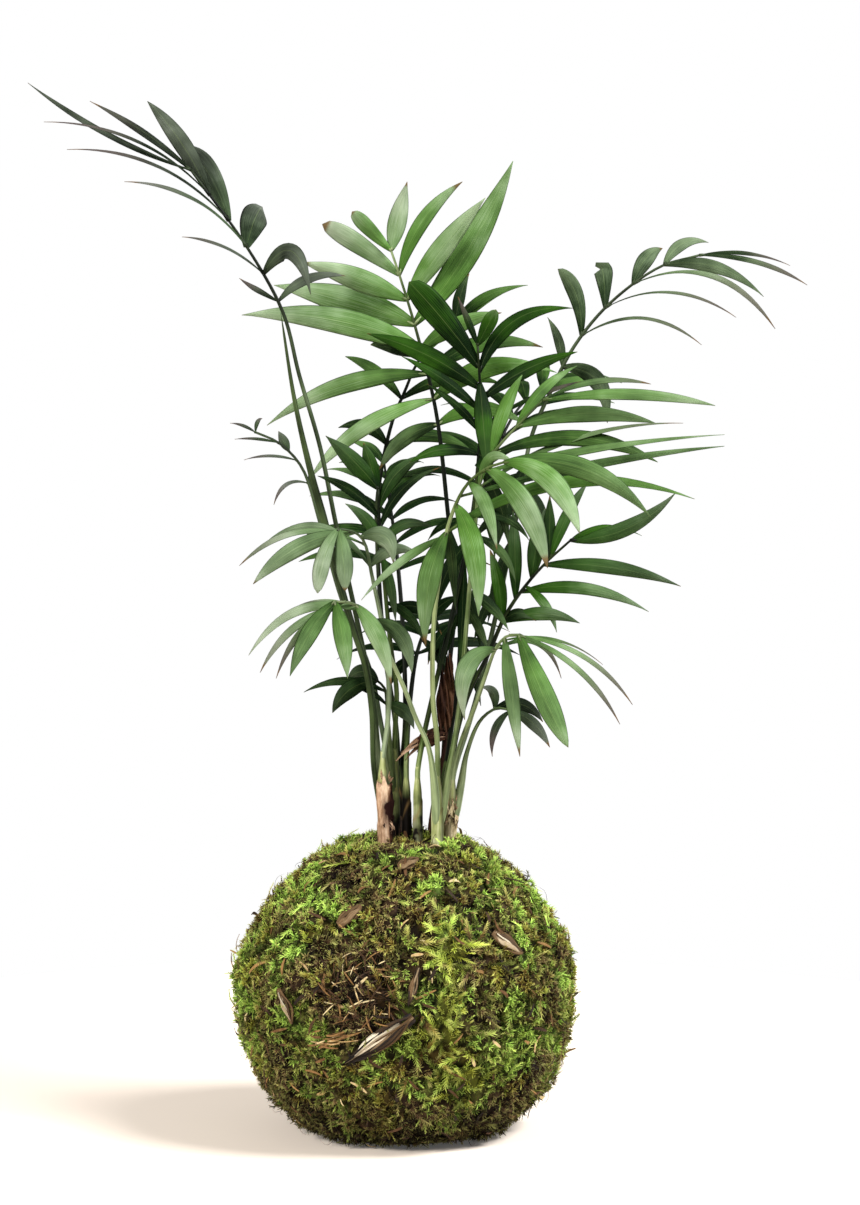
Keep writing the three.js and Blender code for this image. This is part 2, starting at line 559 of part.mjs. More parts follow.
// The x and height on the ball that lie behind a point of the front view
function behindView([x, z]) {
  let point = inDepth([x, -60, z]);
  for (let i = 0; i < 6; i++) point = inDepth([x, onMoss(point.x, point.z, 0).y, z]);
  return [point.x, point.z];
}

// A flake on the moss: a thin curved plate, widest in its middle
function flakeSolid({ ends, width }) {
  const CLEAR = 0.55;
  const THICK = 1;
  const [[x0, z0], [x1, z1]] = ends.map(behindView);
  const length = Math.hypot(x1 - x0, z1 - z0);
  const [ax, az] = [-(z1 - z0) / length, (x1 - x0) / length];
  const grid = (lift) =>
    Array.from({ length: 6 }, (_, i) =>
      Array.from({ length: 3 }, (_, k) => {
        const u = i / 5;
        const off = (k - 1) * (width / 2) * (0.35 + 0.65 * Math.sin(Math.PI * Math.min(1, u * 0.9 + 0.1)));
        return onMoss(x0 + (x1 - x0) * u + ax * off, z0 + (z1 - z0) * u + az * off, lift);
      }),
    );
  return plate(grid(CLEAR), grid(CLEAR + THICK));
}

function soilSolid() {
  const wall = [...MOSS_INSIDE].reverse().map(([r, z]) => [r - GAP, z]);
  wall[0][1] += GAP;
  const mound = [[OPENING_R - GAP, SOIL_TOP - 4], [14, SOIL_TOP - 1], [0, SOIL_TOP]];
  const solid = toSolid(turned([[0, MOSS_FLOOR + GAP], ...wall.slice(0, -1), ...mound]));
  const holes = [...Object.values(STEMS).map(stemShape), dryStalk()].map((shape) => roomFor(...shape));
  return wasm.Manifold.difference([solid, ...holes]);
}

const ALL_FRONDS = [
  ...FRONDS,
  ...BACK_FRONDS.map((frond, i) => {
    const random = makeRandom(11 + i);
    return { ...frond, left: ruledLeaflets(frond, -1, random), right: ruledLeaflets(frond, 1, random) };
  }),
];

const COLOURS = {
  moss: 0x5d6b24,
  soil: 0x2c2018,
  stem: 0x6f8f56,
  leaf: 0x3f7a34,
  darkLeaf: 0x2c5326,
  dry: 0xa2744f,
  bark: 0x6e5b45,
};

const group = new THREE.Group();
function add(name, solid, colour) {
  const material = new THREE.MeshStandardMaterial({ color: COLOURS[colour], roughness: 0.7, metalness: 0 });
  const mesh = new THREE.Mesh(toGeometry(solid), material);
  mesh.name = name;
  group.add(mesh);
}

add("soil_core", soilSolid(), "soil");
add("moss_wrap", mossSolid(), "moss");
for (const flake of FLAKES) add(flake.name, flakeSolid(flake), "bark");
for (const sheath of SHEATHS) add(sheath.name, sheathSolid(sheath), "dry");
add("dry_leaf", dryLeafSolid(), "dry");
add("spear_leaf", spearSolid(), "leaf");
for (const key of Object.keys(STEMS)) add("stem_" + key, stemSolid(key, ALL_FRONDS), "stem");
for (const frond of ALL_FRONDS) add(frond.name, frondSolid(frond), "leaf");

export default group;
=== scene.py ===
# A kokedama: a young parlour palm growing from a ball of soil wrapped in living moss.
# The tables are in millimetres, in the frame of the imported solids; meshes are made in metres.
import math
import random

import bpy
import numpy as np
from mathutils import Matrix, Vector, noise


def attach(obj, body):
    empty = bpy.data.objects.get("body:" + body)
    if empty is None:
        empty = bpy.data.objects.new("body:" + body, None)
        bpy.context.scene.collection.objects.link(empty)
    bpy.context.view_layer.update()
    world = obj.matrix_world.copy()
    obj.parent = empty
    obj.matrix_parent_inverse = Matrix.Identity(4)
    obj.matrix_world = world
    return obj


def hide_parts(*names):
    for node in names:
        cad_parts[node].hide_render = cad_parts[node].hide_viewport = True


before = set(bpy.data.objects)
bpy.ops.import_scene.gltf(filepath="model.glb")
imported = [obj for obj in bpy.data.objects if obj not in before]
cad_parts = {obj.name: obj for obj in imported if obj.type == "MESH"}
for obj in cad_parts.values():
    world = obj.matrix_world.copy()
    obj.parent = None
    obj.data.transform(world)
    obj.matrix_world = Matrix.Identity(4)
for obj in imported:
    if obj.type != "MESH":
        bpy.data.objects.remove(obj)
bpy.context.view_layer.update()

MM = 0.001

# The photograph's view: its height above level, its distance, what it looks at and the height that it shows
VIEW_RISE = math.radians(5)
VIEW_REACH = 1700
VIEW_MIDDLE = np.array([10.9, 0, 232])
VIEW_HEIGHT = 524
VIEW_ZERO = -3  # height of the zero line of the plane that frond points are given on

# Ball, as in the solids: half section of the moss outside and inside, as radius and height
BALL_MIDDLE = 63
MOSS_LUMP = 2.2
MOSS_OUTSIDE = [
    (33, 0), (46, 3.5), (55, 11), (62, 20), (66.5, 29), (70, 38), (73.5, 51), (74.5, 61), (74, 70),
    (71, 80.5), (67, 89), (60.5, 98), (54.5, 106), (45, 115), (34, 123.5), (27, 127.5),
]
MOSS_INSIDE = [
    (26, 126.5), (26, 118), (41, 108), (54, 94), (62.5, 77), (64, 58), (57.5, 33), (46, 17), (32, 10),
]
MOSS_FLOOR = 9
SOIL_MOUND = [(25.7, 124.5), (20, 127), (12, 128.3), (0, 129)]
GAP = 0.3

# Stalks and their seats in or on the stems, as in the solids
STEM_FOOT = 109
SOCKET_DEPTH = 10
CLASP = 22
STALK_R = 1.2
RACHIS_R = 0.75
SUNK = 1.5  # a clasping stalk's foot grows out of the stem from this far inside it

# Fronds. path: the stalk's points above its seat. left and right: each leaflet's tip, width, arch, tilt and,
# on a few, how blunt it is. look: tone from dark to light, greyness, and how light the stalk is at its foot
# and at its tip; these tones are partly painted light and shade. turn: between which shares of the stalk the
# foot's tone gives way. dark: the frond takes the darker leaf paint, painted shade. inner: slender leaflets
# that the solids leave out, as height of the root, tip, width, arch, tilt and tone
FRONDS = [dict(
    name="frond_far_left", stem="a", clasp=120, leafy=68, dark=True, look=(0.22, 0.9, 0.36, 0.02),
    path=[(-12.8, -5.5, 184), (-15, -3, 199), (-21, 0, 228), (-30, 4, 269), (-37, 6, 303), (-46, 8, 334),
        (-53, 8, 361), (-69, 8, 390), (-93, 6, 423)],
    left=[(-72, 34, 376, 4.2, 0, 60), (-97, -14, 394, 4.4, 4, 62), (-122, -18, 418, 4.6, 8, 66),
        (-147, -16, 432, 4, 9.5, 66), (-157, -12, 444, 3.8, 9, 68), (-164, -4, 461, 4.8, -3, 55)],
    right=[(-26, 20, 377, 5.5, 5, 30), (-41, -22, 369, 9.5, 14.5, 20), (-62, 62, 407, 14, 3, 0, 0.8),
        (-96, 48, 433, 11, 5, 0, 0.7), (-112, 40, 453, 9, 3, 0, 0.35), (-137, 6, 453, 4.6, 2, 45)],
), dict(
    name="frond_tall_centre", stem="h", leafy=79, turn=(0.8, 0.97), look=(0.66, 0.36, 0.0, 0.62),
    path=[(20, 14, 180), (23, 16, 200), (24, 21, 225), (19, 26, 271), (13.5, 28, 318), (5, 29, 353),
        (-2.6, 29, 378), (-6, 28, 388)],
    left=[(-11, 33, 293, 8, 4, 10), (-42, 27, 288, 9, 6.5, 30), (-60, 38, 312, 9.5, 7, 20),
        (-71, 22, 360, 13.5, 5.5, 8), (-57, 42, 373, 15, 2.5, 0), (-45, 20, 383, 11.5, 1.5, 5),
        (-36, 36, 399.5, 10, 1, 0, 1), (-23, 24, 405, 7.5, 0, 0, 1)],
    right=[(52, 40, 313, 9, 7, 20), (66, 8, 335, 11, 9, 20), (60, 44, 346, 9, 8, 20),
        (42, 24, 361, 9, 3, 10), (47, 36, 427, 13.5, -3.5, 0), (35, 18, 411, 11, 1.5, 0),
        (25, 34, 418, 7.5, 5, 0), (1, 30, 418, 9.5, 0, 0)],
    inner=[(262, 27, 14, 222, 6, 2, 10, 0.0), (246, 33, 20, 214, 5, 2, 10, -0.1),
        (226, 14, 16, 200, 5, 2, 10, 0.1), (214, 33, 18, 190, 5, 1, 10, 0.0)],
), dict(
    name="frond_dark_centre", stem="d", leafy=48, dark=True, look=(0.16, -0.25, 0.12, 0.05),
    path=[(8, -6, 176), (12, -2, 194), (22, 4, 236), (29, 6, 271), (32, 5, 298), (33, 3, 319),
        (31.6, 0, 347)],
    left=[(2, -14, 296, 7, 4, 30), (9.6, 6, 330, 5, 2, 40), (-1.3, -8, 342, 6, 2, 25),
        (-16.5, 4, 352, 9.5, 3, 5), (1.7, -4, 374.5, 13.5, 1, 0, 1), (23, 2, 368, 3.5, 0, 0, 0)],
    right=[(36, -12, 289, 9.5, 3, 0), (79, 1, 331.5, 4, 3, 60), (75, -6, 344, 8, 3, 35),
        (73, 10, 363, 8, 10, 20), (39.6, -6, 362.4, 7.5, 0, 0, 0.8)],
    inner=[(258, 14, 0, 232, 7, 3, 20, 0.1), (250, 24, 2, 204, 5, 0, 10, 0.0),
        (236, 9, 0, 222, 6, 3, 15, 0.25), (268, 10, 2, 262, 5, 4, 30, 0.3),
        (326, 36, -14, 290, 9, 0, 5, 0.2), (222, 10, -4, 208, 5, 2, 15, 0.05)],
), dict(
    name="frond_right_arching", stem="f", clasp=100, leafy=80, look=(0.26, 1.1, 0.6, 0.2),
    path=[(26.5, 5, 178), (32, 8, 197), (41, 13, 236), (49, 15, 275), (55, 16, 307), (64, 16, 328),
        (74, 15, 347), (89, 14, 365), (111, 9, 381), (128, 5, 386)],
    left=[(62, 26, 359, 5, 3, 20), (66.5, 30, 380, 8, 6, 0, 0.8), (85, 44, 380, 9.5, 6.5, 0, 1),
        (112, 40, 389, 8, 4, 10), (132, 30, 391.5, 6.5, 5, 30), (167.5, 12, 381.5, 4, 3.5, 60)],
    right=[(88, 2, 313, 9, 9, 5), (129, -22, 347, 4.4, 10, 62), (144, -30, 359, 3.4, 9, 68),
        (161, -24, 354, 4.2, 14, 62), (156, -12, 368, 7, 6, 20), (175, -2, 373, 4, 4, 50)],
    inner=[(292, 40, 6, 258, 7.5, 2, 20, 0.0), (258, 36, 8, 226, 6, 1, 10, 0.0),
        (284, 62, 8, 262, 6, 3, 30, 0.1), (270, 30, 12, 262, 5, 3, 20, 0.15),
        (240, 30, 4, 218, 5, 2, 20, 0.05)],
), dict(
    name="frond_right_middle", stem="e", clasp=15, leafy=48, look=(0.34, 0.3, 0.58, 0.4),
    path=[(22, -9.5, 178), (24, -10, 193), (27, -14, 228), (30, -17, 262), (34, -20, 293), (40, -22, 302),
        (51, -24, 314), (60, -25, 323)],
    left=[(48, -36, 295, 5, 9, 10), (51, -18, 334, 7, 2, 0), (75, 2, 338, 6, 4, 30),
        (107, -12, 330, 4.5, 5, 55)],
    right=[(121, -30, 313, 4.5, 8, 55), (110, -28, 296, 8.5, 9, 25), (109, -20, 313, 8.5, 5, 20),
        (135, -26, 320.6, 6.5, 4, 35)],
    inner=[(292, 45, -8, 260, 7, 3, 20, 0.0), (284, 39, -8, 254, 6.5, 3, 15, 0.1),
        (272, 54, -4, 262, 6, 5, 40, 0.05), (262, 48, -12, 244, 5, 4, 30, 0.1),
        (230, 36, -8, 214, 4.5, 1, 10, 0.2), (238, 45, -16, 223, 6, 2, 20, 0.1)],
), dict(
    name="frond_front", stem="e", leafy=56, look=(0.46, 0.15, 0.8, 0.35),
    path=[(14, -9.5, 175), (12.2, -12, 193), (12.6, -19, 227), (15.7, -24, 251), (19, -30, 269),
        (26, -40, 285), (35, -52, 293), (43, -64, 296)],
    left=[(9, -48, 216, 11, 8, 10), (32, -62, 229, 11, 9, 0), (40, -90, 258, 7, 6, 10),
        (62, -88, 250, 11, 8, 0), (76, -92, 265, 11, 9, 8)],
    right=[(126, -50, 280, 7.5, 14.5, 30), (139, -56, 303, 5.5, 3, 45), (139, -66, 308, 5.5, 3, 45),
        (107, -74, 272, 10, 9, 12)],
    inner=[(264, -19, -46, 236, 4.5, 3, 20, 0.5), (268, 22, -12, 232, 5, 2, 10, 0.1)],
), dict(
    name="frond_right_low", stem="h", clasp=-60, leafy=48, dark=True, look=(0.48, 0.15, 0.2, 0.1),
    path=[(23, 8, 180), (28, 6, 196), (36, 4, 212), (44, 1, 230), (53, -2, 243), (62, -5, 253),
        (72, -7, 262)],
    left=[(37, 8, 258, 7, 2, 10), (47, 6, 275, 7, 2, 0), (61, 4, 276, 8.5, 1, 0), (80, 6, 288, 6, 2, 20),
        (103, 2, 264, 5, 5, 50)],
    right=[(76, -20, 226, 7, 4, 20), (106, -16, 231, 7, 6, 25), (120, -14, 242, 7.5, 3.5, 20),
        (118, -4, 283, 8, -5.5, 5)],
    inner=[(250, 63, 2, 282, 6.5, 0, 10, 0.1), (238, 66, -10, 222, 5, 3, 30, 0.6),
        (224, 57, -8, 227, 6.5, 4, 30, 0.2)],
), dict(
    name="frond_front_right", stem="f", leafy=18, look=(0.42, 0.45, 0.75, 0.5),
    path=[(24, -2, 173), (30.5, -14, 190), (35.3, -22, 204), (39.5, -29, 215), (44.5, -36, 220.5),
        (49.5, -41, 221)],
    left=[(26, -46, 184, 9.5, 12, 5, 0.15), (50, -58, 168, 7.5, 0, 0), (71, -66, 172, 11, -1, 0, 0.5)],
    right=[(68, -16, 202, 3.4, 10, 40), (86, -20, 208, 3, 6, 60), (99, -34, 190.5, 3.6, 8, 50),
        (93.5, -46, 182, 3.9, 6, 45)],
), dict(
    name="frond_small_right", stem="f", clasp=10, leafy=8, dark=True, look=(0.3, 0.6, 0.6, 0.4),
    path=[(27, -3, 170), (33, -7, 184), (40, -9, 189), (46, -12, 188)],
    left=[(33, -14, 198, 5, 4, 20), (38, -18, 168, 4, 4, 0)],
    right=[(60, -12, 183, 6.5, 5, 20), (63, -22, 172, 6, 3, 10)],
), dict(
    name="frond_left_fan", stem="a", leafy=30, look=(0.34, 0.95, 0.65, 0.4),
    path=[(-7.6, -8.5, 182), (-7, -10, 198), (-9, -14, 220), (-14, -19, 245), (-18, -25, 262),
        (-23, -31, 266), (-29, -37, 267)],
    left=[(-66, -30, 255.5, 5.5, 15, 45), (-72, -44, 251, 4.5, 10.5, 50), (-66, -52, 243, 8.5, 5.5, 15),
        (-38, -56, 239, 8, 4, 0, 0.8)],
    right=[(6, -26, 256, 7, 5, 30), (-5, -34, 252, 9.5, 7, 10), (-26, -50, 240, 9, 3, 0, 0.6)],
), dict(
    name="frond_low_left", stem="e", clasp=250, leafy=25, look=(0.54, 0.5, 0.75, 0.5),
    path=[(10, -16, 173), (5, -18, 184), (0, -20, 197), (-5, -23, 208), (-12, -28, 224), (-17, -33, 231),
        (-24, -39, 235), (-30.5, -45, 235.3)],
    left=[(-54, -38, 229, 3.5, 8, 60), (-68, -50, 212, 5.5, 11, 40), (-63, -56, 204.5, 4.5, 8, 40),
        (-56, -60, 202, 4, 6, 40), (-50, -64, 203, 8.5, 3, 0)],
    right=[(3, -48, 204.5, 8, 7, 10), (-6, -54, 199.5, 9, 4, 0), (-25, -60, 202, 9, 2, 0)],
), dict(
    name="frond_small_left", stem="b", clasp=225, leafy=12, dark=True, look=(0.2, 0.3, 0.5, 0.2),
    path=[(-7.5, 0, 184), (-8, 1, 193), (-9, 1.5, 198), (-12, 2, 201)],
    left=[(-31, 8, 200.5, 4, 3, 50), (-44, 2, 196, 5, 5, 40), (-31.5, -4, 187, 8.5, 4, 0)],
    right=[(4, -6, 180, 7, 3, 0), (-25, 12, 201, 7, 4, 10)],
), dict(
    name="frond_thin_left", stem="g", clasp=180, leafy=34, dark=True, look=(0.5, 1.0, 0.4, 0.3),
    path=[(-10, 17, 180), (-15, 20, 205), (-28, 19, 238), (-37, 18, 270), (-45, 16, 294), (-55, 14, 304.5),
        (-65, 12, 309)],
    left=[(-57, 8, 277.5, 2.2, 5, 30), (-70, 6, 297, 1.8, 2, 30), (-74, 4, 306, 1.8, 1, 30),
        (-76, 10, 313, 1.8, 1, 30)],
    right=[(-39, 24, 289, 2.4, 3, 20), (-55, 20, 309.5, 5, 0, 0), (-62, 18, 315, 2.2, 2, 0)],
), dict(
    name="frond_mid_left", stem="b", leafy=26, dark=True, look=(0.18, 0.15, 0.35, 0.1),
    path=[(-4, 2.5, 185), (-3.6, 1, 196), (-6.5, -3, 219), (-9, -5, 245), (-10.7, -7, 265),
        (-11.7, -8, 284.5)],
    left=[(-26, -14, 278, 6.5, 3, 20), (-38, -4, 290, 5.5, 3, 30), (-34.5, -12, 307.5, 9, 1, 0)],
    right=[(12, -2, 268, 6, 6, 20), (15, -14, 293.6, 5, 5, 30), (8, -4, 299, 7, 4, 20),
        (-18, -8, 304.5, 7.5, 0, 0)],
    inner=[(252, -4, -10, 226, 5, 1, 15, 0.45), (234, 8, -8, 218, 5, 3, 20, 0.3),
        (230, 16, -2, 221, 6.5, 7, 20, 0.0)],
), dict(
    name="frond_back_left", stem="g", leafy=64, look=(0.2, 0.15, 0.3, 0.1),
    path=[(-4, 17, 182), (-9, 24, 215), (-12, 34, 260), (-12, 38, 280), (-6, 41, 312), (0, 43, 327),
        (6.5, 45, 341), (22, 48, 357)],
    left=[(-29, 40, 311, 7, 5, 10), (-26, 56, 342, 6, 3, 20), (-15, 62, 347, 10, 2, 0),
        (28, 58, 378, 6, 2, 10)],
    right=[(30, 58, 300, 7, 6, 20), (42, 56, 330, 7, 6, 20), (42, 60, 369, 6, 3, 30),
        (53.5, 54, 373, 6, 4, 30)],
)]

# Fronds at the back, whose leaflets follow a rule: side, pairs and longest leaflet.
# Their low tones are painted shade
BACK_FRONDS = [dict(
    name="frond_back_centre", stem="g", clasp=60, leafy=66, look=(0.2, 0.15, 0.2, 0.1),
    side=(1, 0, 0), pairs=6, reach=50,
    path=[(0, 22, 180), (-1, 32, 215), (-4, 48, 250), (-8, 70, 276), (-10, 90, 288)],
), dict(
    name="frond_back_right", stem="h", clasp=100, leafy=66, look=(0.18, 0.15, 0.2, 0.1),
    side=(0.95, -0.3, 0), pairs=6, reach=58,
    path=[(18, 20, 185), (24, 38, 235), (37, 60, 285), (50, 80, 312), (62, 96, 322)],
), dict(
    name="frond_back_low", stem="c", leafy=40, dark=True, look=(0.1, 0.15, 0.2, 0.1),
    side=(1, 0, 0), pairs=4, reach=44,
    path=[(1, 0, 172), (2, 10, 186), (5, 32, 206), (10, 52, 218), (14, 68, 220)],
    inner=[(206, -8, 26, 196, 6, 3, 20, 0.1), (212, 22, 30, 196, 6, 3, 20, 0.1)],
)]

# Where the crown is densest, seen from the front (x, z), and how far that reaches. Leaflets there get
# painted shade and painted light through the leaves: a deep, saturated green
HEART = (32, 322)
HEART_REACH = 30

# Stems: foot and top on the plan, height of the top, radius at foot and top, tone from dark to light, foot
# from dry (+) to black and rotten (-), and the height of the sheath's mouth. Low tones and black feet are
# partly the stems' own colour and decay, and partly painted shade among the stems
STEMS = {
    "a": dict(foot=(-8.3, -8.5), top=(-9.5, -8.5), height=163, r=(3, 3.1), tone=0.75, dry=0.2, mouth=151),
    "b": dict(foot=(-3.8, 3), top=(-4.5, 3), height=169, r=(1.8, 2.2), tone=0.55, dry=-0.5, mouth=146),
    "c": dict(foot=(1, -4), top=(0.6, -3), height=157, r=(2.2, 2.2), tone=0.66, dry=-1.3, mouth=141),
    "d": dict(foot=(5.6, -11), top=(5.5, -10), height=157, r=(2.1, 2.4), tone=0.7, dry=-0.7, mouth=143),
    "e": dict(foot=(14, -10), top=(14.2, -9), height=156, r=(2.7, 2.9), tone=0.75, dry=0.1, mouth=145),
    "f": dict(foot=(18.5, -1), top=(20.8, -1), height=155, r=(2.8, 2.4), tone=0.82, dry=0.75, mouth=143),
    "g": dict(foot=(-1, 14), top=(-3, 16), height=159, r=(2.4, 2.6), tone=0.15, dry=-1.6, mouth=146),
    "h": dict(foot=(13, 12), top=(18, 13), height=160, r=(2.6, 2.8), tone=0.2, dry=-1.5, mouth=145),
}

# The rolled new leaf beside the far left frond, with its radius at the foot, at its widest and at the tip
SPEAR = dict(
    stem="a", clasp=180, r=(1.1, 1.7, 0.4),
    path=[(-14.5, -9, 188), (-17.5, -8, 208), (-22, -6, 222), (-29, -3, 246), (-35, -2, 270), (-41, -2, 292),
        (-48, -2, 323), (-54, -2, 361)],
)

# Dead leaf among the stems, and dry leaf bases that hug two stems
DRY_LEAF = dict(
    path=[(10.5, 3, 113), (10.5, 3, 128), (13, 3, 147), (17, 2.5, 167), (18, 2, 175)],
    leaflets=[(18.5, 4, 210, 6, 0, 0), (-4, -12, 164, 5.5, 3, 20)],
)
# Blades of its crumpled top: shift of the root, share of the length, and tone
DRY_BLADES = (((0, 0, 0), 1, 0.36), ((-2.5, -1.5, 3), 0.8, 0.22), ((1.5, 1, 4), 0.9, 0.44))
# Strips of its tail: lift, share of the length, and tone
DRY_TAILS = ((3, 0.62, 0.2), (-1, 0.58, 0.26), (2.2, 0.9, 0.6), (0, 1, 0.8), (-2.2, 0.82, 0.45))
SHEATHS = [
    dict(name="dry_sheath_left", stem="a", low=128.5, high=158, arc=(-140, -10)),
    dict(name="dry_sheath_right", stem="f", low=128.5, high=147, arc=(-165, -35)),
]

# Flakes of bark and dry leaf on the moss: both ends in the front view, and the width
FLAKES = [
    dict(name="flake_low", ends=((3.4, 55.3), (-23.4, 36.6)), width=7),
    dict(name="flake_upright", ends=((5.7, 76.3), (1.6, 60)), width=3.6),
    dict(name="flake_left", ends=((-53.7, 67), (-48.4, 52)), width=3.4),
    dict(name="flake_right", ends=((38.4, 92), (50, 82)), width=4.2),
    dict(name="flake_high", ends=((-29.2, 95), (-18.7, 103)), width=5),
    dict(name="flake_crown", ends=((-3, 118), (6, 122)), width=4),
]

# A flake's strips: share across, share of the width, lift, tone, and start and end along it
FLAKE_STRIPS = {
    "flake_low": [
        (0.2, 0.95, 0.7, 0.03, 0.0, 1.0), (-0.3, 0.6, 1.4, 1.0, 0.2, 0.9), (-0.75, 0.22, 1.6, 0.1, 0.0, 0.95),
        (-0.05, 0.14, 1.9, 0.3, 0.0, 0.75), (0.3, 0.2, 1.8, 0.5, 0.0, 0.7), (0.6, 0.2, 1.7, 0.12, 0.0, 1.0),
        (-0.2, 0.08, 2.1, 0.7, 0.2, 1.05), (0.95, 0.16, 1.5, 0.3, 0.02, 0.7),
        (0.45, 0.1, 2.1, 0.02, -0.06, 0.9), (-0.55, 0.1, 2.0, 0.0, 0.1, 1.1),
        (0.8, 0.08, 2.0, 0.04, 0.2, 1.08),
    ],
    "flake_upright": [
        (0.2, 0.7, 0.8, 0.06, 0.0, 1.0), (-0.25, 0.5, 1.3, 0.3, 0.05, 0.95), (0.1, 0.2, 1.6, 0.6, 0.0, 0.8),
        (-0.45, 0.18, 1.5, 0.05, 0.1, 1.05), (0.5, 0.16, 1.6, 0.45, 0.1, 0.9),
    ],
}
FLAKE_STRIPS["flake_high"] = FLAKE_STRIPS["flake_crown"] = [
    (0.1, 0.95, 0.8, 0.3, 0.0, 1.0), (-0.3, 0.45, 1.4, 0.4, 0.05, 0.9), (0.4, 0.25, 1.4, 0.22, 0.05, 1.0),
]
PLAIN_STRIPS = [
    (0.1, 0.95, 0.8, 0.3, 0.0, 1.0), (-0.3, 0.4, 1.4, 0.65, 0.05, 0.9), (0.4, 0.25, 1.4, 0.15, 0.05, 1.0),
    (0.0, 0.12, 1.7, 0.85, 0.1, 0.8),
]
STRIP_ROWS = 18
STRIP_ACROSS = 7
STRIP_THICK = 0.28

# Patches on the front of the moss: place, reach, and shift from brown (-) to yellow-green (+)
MOSS_PATCHES = [
    ((-16, -70, 81), 14, -0.85), ((-26, -69, 76), 9, -0.7), ((-2, -52, 110), 10, -0.25),
    ((-13, -43, 116), 9, -0.35), ((31, -63, 85), 8, -0.4), ((44, -53, 88), 7, -0.3),
    ((-57, -36, 91), 8, -0.4), ((-35, -26, 117), 9, -0.35), ((62, -41, 66), 8, -0.35),
    ((56, -37, 35), 10, -0.3), ((-50, -50, 30), 12, -0.25), ((32, -67, 68), 7, -0.35),
    ((18, -65, 91), 12, 0.3), ((13, -72, 52), 16, 0.38), ((21, -62, 32), 13, 0.3), ((17, -48, 111), 9, 0.25),
    ((56, -38, 90), 10, 0.2), ((-8, -74, 70), 8, 0.3), ((16, -72, 72), 9, 0.3), ((-72, -13, 76), 12, 0.25),
    ((-44, -59, 53), 11, 0.15), ((-10, -71, 45), 10, 0.2), ((49, -56, 59), 10, 0.15),
    ((-50, -20, 109), 10, 0.2), ((32, -24, 118), 10, 0.25), ((3, -62, 97), 7, -0.35),
    ((-36, -56, 88), 7, -0.3), ((-46, -57, 70), 6, -0.3),
]
MOSS_FEATHERY = [((13, -72, 52), 17), ((18, -65, 91), 14), ((21, -62, 32), 12), ((-8, -74, 70), 9)]

# The moss that the shoots stand in: rings, points a ring, and how far it lies inside the solid
BASE_ROWS = 92
BASE_SIDES = 210
BASE_INSET = 1.9

# The soil's rings over its mound, and points a ring
SOIL_ROWS = 26
SOIL_SIDES = 120

# The moss grows in clumps: how many, and how far their middles stand over the gaps between them
CLUMPS = 1000
CLUMP_RISE = 2.2

# Moss shoots: how many of each kind before thinning, and the quarters of the ball that they are kept in
TUFT_COUNT = 16500
SPRIG_COUNT = 4300
FEATHER_COUNT = 5400
QUARTERS = ("front", "right", "back", "left")
GOLDEN_ANGLE = math.pi * (3 - 5**0.5)  # turn from one place on the moss to the next

# The forms that shoots are copied from: how many, length, reach of the leaves, leaves and their width.
# Tufts have no reach. Dead scraps: how many, length and width
FEATHER_FORMS = (9, (6.5, 11), (2.2, 3.1), 17, 0.5)
SPRIG_FORMS = (9, (3, 5), (1, 1.5), 8, 0.55)
TUFT_FORMS = (10, (1.6, 2.7), 7, (0.55, 0.8))
CHIP_FORMS = (12, (2.5, 9), (0.5, 1.6))
TWIG_FORMS = (8, (3, 8), (0.35, 0.7))
THREAD_FORMS = (8, (5, 11), 0.12)

# Litter in the moss: thin dark threads, and short strips of dry leaf and bark. Most lies round one place.
THREADS = 380
CHIPS = 420
HEAP_THREADS = 8600
HEAP_TWIGS = 7000
LITTER_PLACE = (-19, -70, 75)
LITTER_REACH = 17
ANYWHERE = 200  # a reach that takes in the whole ball
CHIP_CORNERS = ((1, 0.1), (-1, 0.14), (-0.9, -0.1), (0.9, -0.08))  # share of the half width across, and up

# The bundle of straw on the ball's left: how many, between which x they start, and their height
STRAWS = 26
STRAW_SPREAD = (-42, -26)
STRAW_HEIGHT = 53

# Litter that stands among the stems: its middle, the heights of its feet, then how many and how far out
MOUTH_MIDDLE = (4, 2)
MOUTH_HEIGHTS = (122, 127)
MOUTH_THREADS = (120, 15)
MOUTH_CHIPS = (34, 12)

# A leaflet's finer form: stations along it, points across it, its thickness, fold, pleats, ripple and twist
BLADE_STATIONS = 20
BLADE_ACROSS = 11
BLADE_THICK = 0.35
BLADE_EDGE = 0.12  # least half width
BLADE_SLIM = 0.88  # share of the solid's width: a fine leaf looks broader than a thick one
BLADE_FOLD = 0.26
PLEAT = 0.055
RIPPLE = 0.3
TWIST = math.radians(34)

# How far a leaflet's tone and greyness stray from its frond's, and what they are in the heart of the crown,
# with painted shade and painted light through the leaves
TONE_SPREAD = 0.22
GREY_SPREAD = 0.26
HEART_SHADE_TONE = 0.42
HEART_SHADE_GREY = -0.15

# The thick of the plant seen from the front (x, z), its reach both ways, and how much painted shade it puts
# on leaves and on stalks
THICK = (15, 252)
THICK_REACH = (46, 78)
LEAF_SHADE = 0.5
STALK_SHADE = 0.35

# Points round a stalk, a stem and the spear, and the fineness of a dry leaf base
STALK_SIDES = 10
STEM_SIDES = 28
STEM_STEP = 0.8  # height from one ring to the next
STEM_HIDDEN = 14  # how much of the solid's foot, in the soil, the fine stem leaves out
SPEAR_SIDES = 14
SPEAR_ROWS = 70
SHEATH_ROWS = 34
SHEATH_ACROSS = 22
SHEATH_THICK = 0.45
SLIVERS = 16  # torn from its rim
SLIVERS_BELOW = 9  # how many of them hang from its foot
COLLAR_R = np.array([0.75, 0.6, 0.3])  # the joint between a leaflet and its stalk, narrowing along it
SEAT_SHADE = 0.06  # how much darker than its stem a stalk starts

# The solids' generator for the back fronds
DRAW_FACTOR = 16807
DRAW_SPAN = 2147483647

LEAF, STALK = 0, 1  # a frond's materials
UP = np.array([0.0, 0.0, 1.0])

